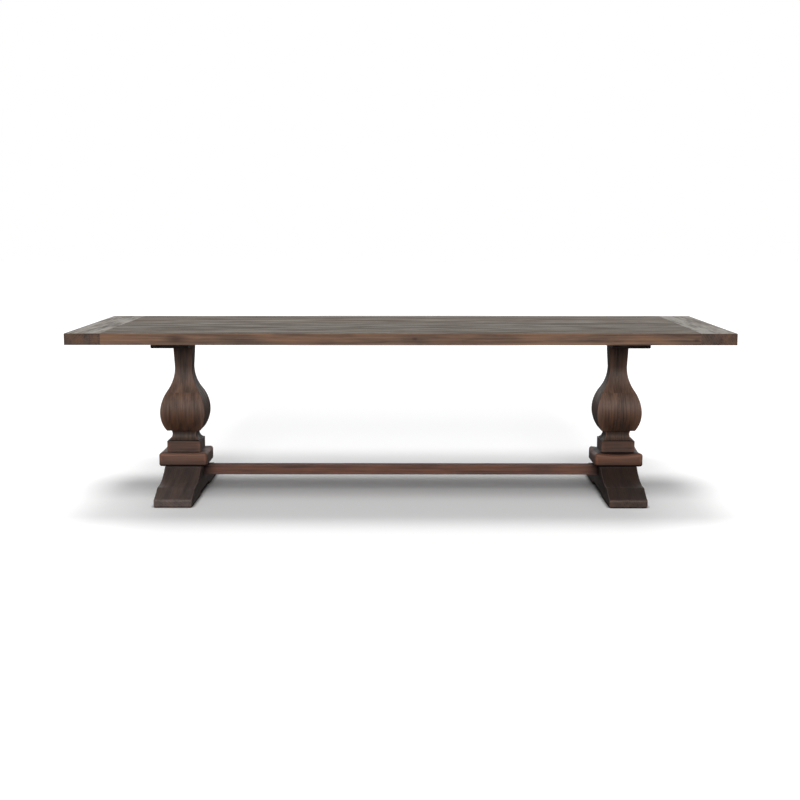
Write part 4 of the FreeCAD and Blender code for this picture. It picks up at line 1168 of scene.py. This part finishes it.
class TABLE_OT_feet(bpy.types.Operator):
    """Two sled feet: a hollow down to a flat land, an arris, a sloping toe and a relief below"""
    bl_idname = "table.feet"
    bl_label = "Sled Feet"

    def execute(self, context):
        sizes = context.scene.table_foot
        boards = context.scene.table_boards
        shades = context.scene.table_colours
        material = stained_pine(
            "stained_pine_feet", "Y", shades.foot_dark, shades.foot_light,
            figure=0.6, arris_rub_and_highlight=1.2, end_stain=0.0)
        for side in SIDES:
            node = f"{side}_foot"
            low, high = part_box(node)
            bm = self.saw_foot(sizes, low, high)
            self.soften(bm, sizes, boards, low, high)
            nose = high.y - sizes.nose_radius
            saw_from(bm, lambda centre: f"{node} nose" if abs(centre.y) > nose else node)
            made = piece(f"{side}_sled_foot", bm, material, "foot_wood", node)
            bore(made, self.bores(boards, sizes, low, high))
        return {"FINISHED"}

    def saw_foot(self, sizes, low, high):
        """The side outline, drawn for one half and mirrored, then drawn out to the foot's width."""
        bm = new_bmesh()
        end = high.y
        lip = high.z - sizes.lip
        land = low.z + sizes.land_height
        arris = end - sizes.toe_length
        land_start = arris - sizes.land_length
        toe = low.z + sizes.toe_height
        top = sizes.top_length / 2
        relief = sizes.relief_length / 2
        arch = low.z + sizes.relief_height

        run = land_start - top
        fall = lip - land
        cavetto_radius = (run ** 2 + fall ** 2) / (2 * fall)
        cavetto_centre = Vector((low.x, land_start, land + cavetto_radius))
        slope = Vector((0, end - arris, toe - land))
        slope_radius = (slope.length ** 2 / 4 + sizes.toe_hollow ** 2) / (2 * sizes.toe_hollow)
        outward = Vector((0, -slope.z, slope.y)).normalized()
        slope_middle = Vector((low.x, (arris + end) / 2, (land + toe) / 2))
        slope_centre = slope_middle + outward * (slope_radius - sizes.toe_hollow)

        pen = bm.verts.new((low.x, 0, high.z))
        pen = line_to(bm, pen, top, high.z)
        pen = line_to(bm, pen, top, lip)
        pen = arc_to(bm, pen, cavetto_centre, land_start, land)
        pen = line_to(bm, pen, arris, land)
        pen = arc_to(bm, pen, slope_centre, end, toe)
        pen = line_to(bm, pen, end, low.z)
        pen = line_to(bm, pen, relief, low.z)
        pen = line_to(bm, pen, relief, arch)
        line_to(bm, pen, 0, arch)
        bmesh.ops.mirror(
            bm, geom=bm.verts[:] + bm.edges[:], matrix=Matrix.Identity(4), merge_dist=TOUCHING, axis="Y")
        bmesh.ops.remove_doubles(bm, verts=bm.verts, dist=TOUCHING)
        outline = bmesh.ops.edgeloop_fill(bm, edges=bm.edges)["faces"]
        draw_out(bm, outline, (high.x - low.x, 0, 0))
        bmesh.ops.recalc_face_normals(bm, faces=bm.faces)
        return bm

    def soften(self, bm, sizes, boards, low, high):
        """Rounds the nose and the long arrises, cuts the foot across for wear and rubs the edges."""
        noses = [edge for edge in bm.edges if lies_at(edge, 2, low.z + sizes.toe_height)
                 and on_side(edge, low, high, 1)]
        ease(bm, noses, sizes.nose_radius, segments=6)
        land_arris = high.y - sizes.toe_length
        lands = [edge for edge in bm.edges if lies_at(edge, 2, low.z + sizes.land_height)
                 and (lies_at(edge, 1, land_arris) or lies_at(edge, 1, -land_arris))]
        # The land's arris is marked a little lighter, rubbed and painted as a highlight
        ease(bm, lands, boards.arris_radius, rubbed=0.2)
        across = [edge for edge in bm.edges if runs_along(edge, 0)]
        bmesh.ops.subdivide_edges(bm, edges=across, cuts=FOOT_CUTS, use_grid_fill=True)
        rims = [edge for edge in bm.edges if on_side(edge, low, high, 0)]
        ease(bm, rims, boards.arris_radius * SLENDER)
        wear(bm, boards)

    def bores(self, boards, sizes, low, high):
        """Bolt recesses in the outer side and the nut's recess in the ceiling of the relief."""
        outer = max(low.x, high.x, key=abs)
        ceiling = low.z + sizes.relief_height
        bores = []
        for bolt in solids_of("stretcher_bolts"):
            if bolt[0].x * outer > 0:
                bores.append(bore_over(bolt, 0, outer, boards.bolt_recess, boards.bolt_recess_width))
        for washer in solids_of("tie_rod_washers"):
            top = washer[1].z
            if washer[0].x * outer > 0 and top < high.z:
                bores.append(bore_over(washer, 2, ceiling, top - ceiling, boards.nut_recess_width))
        return bores


# Stretcher, glides and fittings

RAIL_PITCH = Vector((30, 23, 22)) * MM
# Length at each end of the stretcher that is darkened towards the foot as painted shade
SHADED_END = 65 * MM


class TABLE_OT_stretcher(bpy.types.Operator):
    """The low rail between the feet, with its tenons"""
    bl_idname = "table.stretcher"
    bl_label = "Stretcher"

    def execute(self, context):
        sizes = context.scene.table_boards
        shades = context.scene.table_colours
        material = stained_pine(
            "stained_pine_stretcher", "X", shades.rail_dark, shades.rail_light, figure=0.7,
            roughness=(0.58, 0.74))
        low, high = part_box("stretcher")
        low.x += sizes.tenon_length
        high.x -= sizes.tenon_length
        bm = block(low, high, RAIL_PITCH)
        self.add_tenons(bm, sizes, low, high)
        long_edges = [edge for edge in bm.edges if runs_along(edge, 0)
                      and on_side(edge, low, high, 1) and on_side(edge, low, high, 2)]
        ease(bm, long_edges, sizes.arris_radius * SLENDER)
        worn = bm.verts.layers.float["arris"]
        # Painted shade, darker towards each foot
        for vert in bm.verts:
            away = min(vert.co.x - low.x, high.x - vert.co.x)
            vert[worn] -= max(0.0, 1 - away / SHADED_END)
        wear(bm, sizes)
        saw_from(bm, lambda centre: "stretcher")
        piece("stretcher_rail", bm, material, "stretcher_wood", "stretcher")
        return {"FINISHED"}

    def add_tenons(self, bm, sizes, low, high):
        """Insets each end for the shoulder and draws the tenon out of it."""
        for end, hand in ((low.x, -1), (high.x, 1)):
            faces = [face for face in bm.faces if abs(face.calc_center_median().x - end) < TOUCHING]
            bmesh.ops.inset_region(bm, faces=faces, thickness=sizes.tenon_shoulder, use_even_offset=True)
            draw_out(bm, faces, (hand * sizes.tenon_length, 0, 0))


GLIDE_STEPS = 32
GLIDE_RIM_STEPS = 4
# Depth of the screw's recess as a share of the glide's height
GLIDE_RECESS = 0.8


class TABLE_OT_glides(bpy.types.Operator):
    """Eight moulded floor glides with rounded rims, dished for their screws"""
    bl_idname = "table.glides"
    bl_label = "Floor Glides"

    def execute(self, context):
        sizes = context.scene.table_boards
        material = black_nylon(context.scene.table_colours)
        screws = solids_of("glide_screws")
        bm = new_bmesh()
        for low, high in solids_of("floor_glides"):
            head_low, head_high = next(
                screw for screw in screws if low.x < screw[0].x < high.x and low.y < screw[0].y < high.y)
            head_radius = (head_high.x - head_low.x) / 2 + sizes.bore_clearance
            self.turn_glide(bm, sizes, low, high, head_radius)
        piece("nylon_glides", bm, material, "glide_nylon", "floor_glides")
        return {"FINISHED"}

    def turn_glide(self, bm, sizes, low, high, head_radius):
        """Spins the half section about the glide's middle."""
        middle = (low + high) / 2
        radius = (high.x - low.x) / 2
        rim = sizes.glide_round
        recess = low.z + (high.z - low.z) * GLIDE_RECESS
        pen = bm.verts.new((middle.x, middle.y, high.z))
        pen = line_to(bm, pen, middle.y + radius, high.z)
        pen = line_to(bm, pen, middle.y + radius, low.z + rim)
        rim_centre = Vector((middle.x, middle.y + radius - rim, low.z + rim))
        pen = arc_to(bm, pen, rim_centre, middle.y + radius - rim, low.z, steps=GLIDE_RIM_STEPS)
        pen = line_to(bm, pen, middle.y + head_radius, low.z)
        pen = line_to(bm, pen, middle.y + head_radius, recess)
        line_to(bm, pen, middle.y, recess)
        section = [edge for edge in bm.edges if not edge.link_faces]
        bmesh.ops.spin(
            bm, geom=section, cent=middle, axis=(0, 0, 1), dvec=(0, 0, 0), angle=math.tau,
            steps=GLIDE_STEPS, use_merge=True)
        bmesh.ops.remove_doubles(bm, verts=bm.verts, dist=TOUCHING)


BEECH_NODES = ["breadboard_pegs"] + [f"plank_spline_{seam}" for seam in PLANKS[:-1]] + [
    f"{side}_{dowels}" for side in SIDES for dowels in ("bearer_dowels", "baluster_dowels", "foot_dowels")]
STEEL_NODES = ["bearer_screws_left", "bearer_screws_right", "left_tie_rod", "right_tie_rod", "tie_rod_nuts",
               "tie_rod_washers", "stretcher_bolts", "stretcher_barrel_nuts", "glide_screws"]


class TABLE_OT_fittings(bpy.types.Operator):
    """Finishes of the dowels, pegs and splines and of the steel fasteners"""
    bl_idname = "table.fittings"
    bl_label = "Fittings"

    def execute(self, context):
        shades = context.scene.table_colours
        for material, nodes in ((bare_beech(shades), BEECH_NODES), (zinc_plated_steel(shades), STEEL_NODES)):
            for node in nodes:
                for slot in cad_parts[node].material_slots:
                    slot.material = material
        return {"FINISHED"}


# Stage

BLACK = (0, 0, 0, 1)
WHITE = (1, 1, 1, 1)
FLOOR_SPAN = 60.0
# How the floor is lifted to white by a painted glow: by how much, and between which distances from the table's
# middle
FLOOR_LIFT = 0.2
LIFT_SPAN = (0.9, 1.35)
# How close above the floor a piece has to be to darken it with painted shade, and how open the floor is where
# black and clear
FLOOR_GAP = 30 * MM
GAP_SPAN = (0.35, 0.85)
SKY_STRENGTH = 0.08
# Suns, each with its name, strength, tilt towards the front and angular size
LAMPS = (
    ("overhead_back", 1.4, math.radians(-16), math.radians(24)),
    ("overhead_front", 1.15, math.radians(31), math.radians(24)),
    ("ceiling", 0.35, 0.0, math.radians(130)),
    ("front_fill", 1.52, math.radians(73), math.radians(24)),
)
CAMERA_PLACE = (0.0278, -6.179, 1.251)
CAMERA_TILT = 0.1346
CAMERA_PAN = 0.0051
FOCAL_LENGTH = 61.7


class TABLE_OT_stage(bpy.types.Operator):
    """Pale floor, soft light, white surroundings and the camera"""
    bl_idname = "table.stage"
    bl_label = "Stage"

    def execute(self, context):
        self.lay_floor(context)
        self.light(context)
        self.place_camera(context)
        context.scene.view_settings.view_transform = "Standard"
        return {"FINISHED"}

    def lay_floor(self, context):
        """A matt floor, lifted to white for the camera at the table's ends by a painted glow, black in gaps as
        painted shade.
        """
        material, tree = new_material("studio_floor")
        shades = context.scene.table_colours
        seen = add(tree, "LightPath", out="Is Camera Ray")
        shade = add(tree, "Mix", {
            FACTOR: seen, FIRST: opaque(shades.floor_bounce), SECOND: opaque(shades.floor)},
            out=MIXED, data_type="RGBA")
        # Painted shade: black where a piece stands close above the floor
        openness = add(tree, "AmbientOcclusion", {"Distance": FLOOR_GAP}, out="AO", samples=GAP_SAMPLES)
        clear = add(tree, "MapRange", [openness, *GAP_SPAN])
        shade = add(tree, "Mix", {FACTOR: clear, FIRST: BLACK, SECOND: shade}, out=MIXED, data_type="RGBA")
        matt = add(tree, "BsdfDiffuse", {"Color": shade})
        # Painted glow that lifts the floor to white towards the table's ends
        place = add(tree, "TexCoord", out="Object")
        away = add(tree, "SeparateXYZ", [place], out="X")
        away = add(tree, "Math", [away], operation="ABSOLUTE")
        lift = add(tree, "MapRange", [away, *LIFT_SPAN, 0.0, FLOOR_LIFT], interpolation_type="SMOOTHSTEP")
        for share in (seen, clear):
            lift = add(tree, "Math", [lift, share], operation="MULTIPLY")
        glow = add(tree, "Emission", {"Strength": lift})
        surface = add(tree, "AddShader", [matt, glow])
        add(tree, "OutputMaterial", {"Surface": surface})
        bm = bmesh.new()
        bmesh.ops.create_grid(bm, x_segments=1, y_segments=1, size=FLOOR_SPAN / 2)
        mesh = bpy.data.meshes.new("floor")
        bm.to_mesh(mesh)
        bm.free()
        mesh.materials.append(material)
        floor = bpy.data.objects.new("floor", mesh)
        context.scene.collection.objects.link(floor)

    def light(self, context):
        """An even sky that the camera and reflections see as white, and broad lamps above and in front."""
        world = bpy.data.worlds.new("studio")
        world.use_nodes = True
        tree = world.node_tree
        tree.nodes.clear()
        rays = add(tree, "LightPath").node.outputs
        seen = 0.0
        for ray in ("Is Camera Ray", "Is Glossy Ray", "Is Transmission Ray"):
            seen = add(tree, "Math", [seen, rays[ray]], operation="MAXIMUM")
        strength = add(tree, "MapRange", {"Value": seen, "To Min": SKY_STRENGTH, "To Max": 1.0})
        sky = add(tree, "Background", {"Color": WHITE, "Strength": strength})
        add(tree, "OutputWorld", {"Surface": sky})
        context.scene.world = world
        for name, strength, tilt, spread in LAMPS:
            lamp = bpy.data.lights.new(name, "SUN")
            lamp.energy = strength
            lamp.angle = spread
            light = bpy.data.objects.new(name, lamp)
            light.rotation_euler = (tilt, 0, 0)
            context.scene.collection.objects.link(light)

    def place_camera(self, context):
        lens = bpy.data.cameras.new("camera")
        lens.lens = FOCAL_LENGTH
        camera = bpy.data.objects.new("camera", lens)
        camera.location = CAMERA_PLACE
        camera.rotation_euler = (math.pi / 2 - CAMERA_TILT, 0, CAMERA_PAN)
        context.scene.collection.objects.link(camera)
        context.scene.camera = camera


OPERATORS = (
    TABLE_OT_top_planks,
    TABLE_OT_breadboard_ends,
    TABLE_OT_bearers,
    TABLE_OT_balusters,
    TABLE_OT_die_blocks,
    TABLE_OT_plinths,
    TABLE_OT_feet,
    TABLE_OT_stretcher,
    TABLE_OT_glides,
    TABLE_OT_fittings,
    TABLE_OT_stage,
)


class TABLE_PT_pieces(bpy.types.Panel):
    """Lists the pieces of the table and the stage"""
    bl_idname = "TABLE_PT_pieces"
    bl_label = "Trestle Table"
    bl_space_type = "VIEW_3D"
    bl_region_type = "UI"
    bl_category = "Table"

    def draw(self, context):
        for operator in OPERATORS:
            self.layout.operator(operator.bl_idname)


CLASSES = (*SETTINGS.values(), *OPERATORS, TABLE_PT_pieces)


def register():
    for entry in CLASSES:
        bpy.utils.register_class(entry)
    for name, group in SETTINGS.items():
        setattr(bpy.types.Scene, name, bpy.props.PointerProperty(type=group))


def unregister():
    for name in SETTINGS:
        delattr(bpy.types.Scene, name)
    for entry in reversed(CLASSES):
        bpy.utils.unregister_class(entry)


def main():
    register()
    bpy.ops.table.top_planks()
    bpy.ops.table.breadboard_ends()
    bpy.ops.table.bearers()
    bpy.ops.table.balusters()
    bpy.ops.table.die_blocks()
    bpy.ops.table.plinths()
    bpy.ops.table.feet()
    bpy.ops.table.stretcher()
    bpy.ops.table.glides()
    bpy.ops.table.fittings()
    bpy.ops.table.stage()
    bpy.context.view_layer.update()


if __name__ == "__main__":
    main()
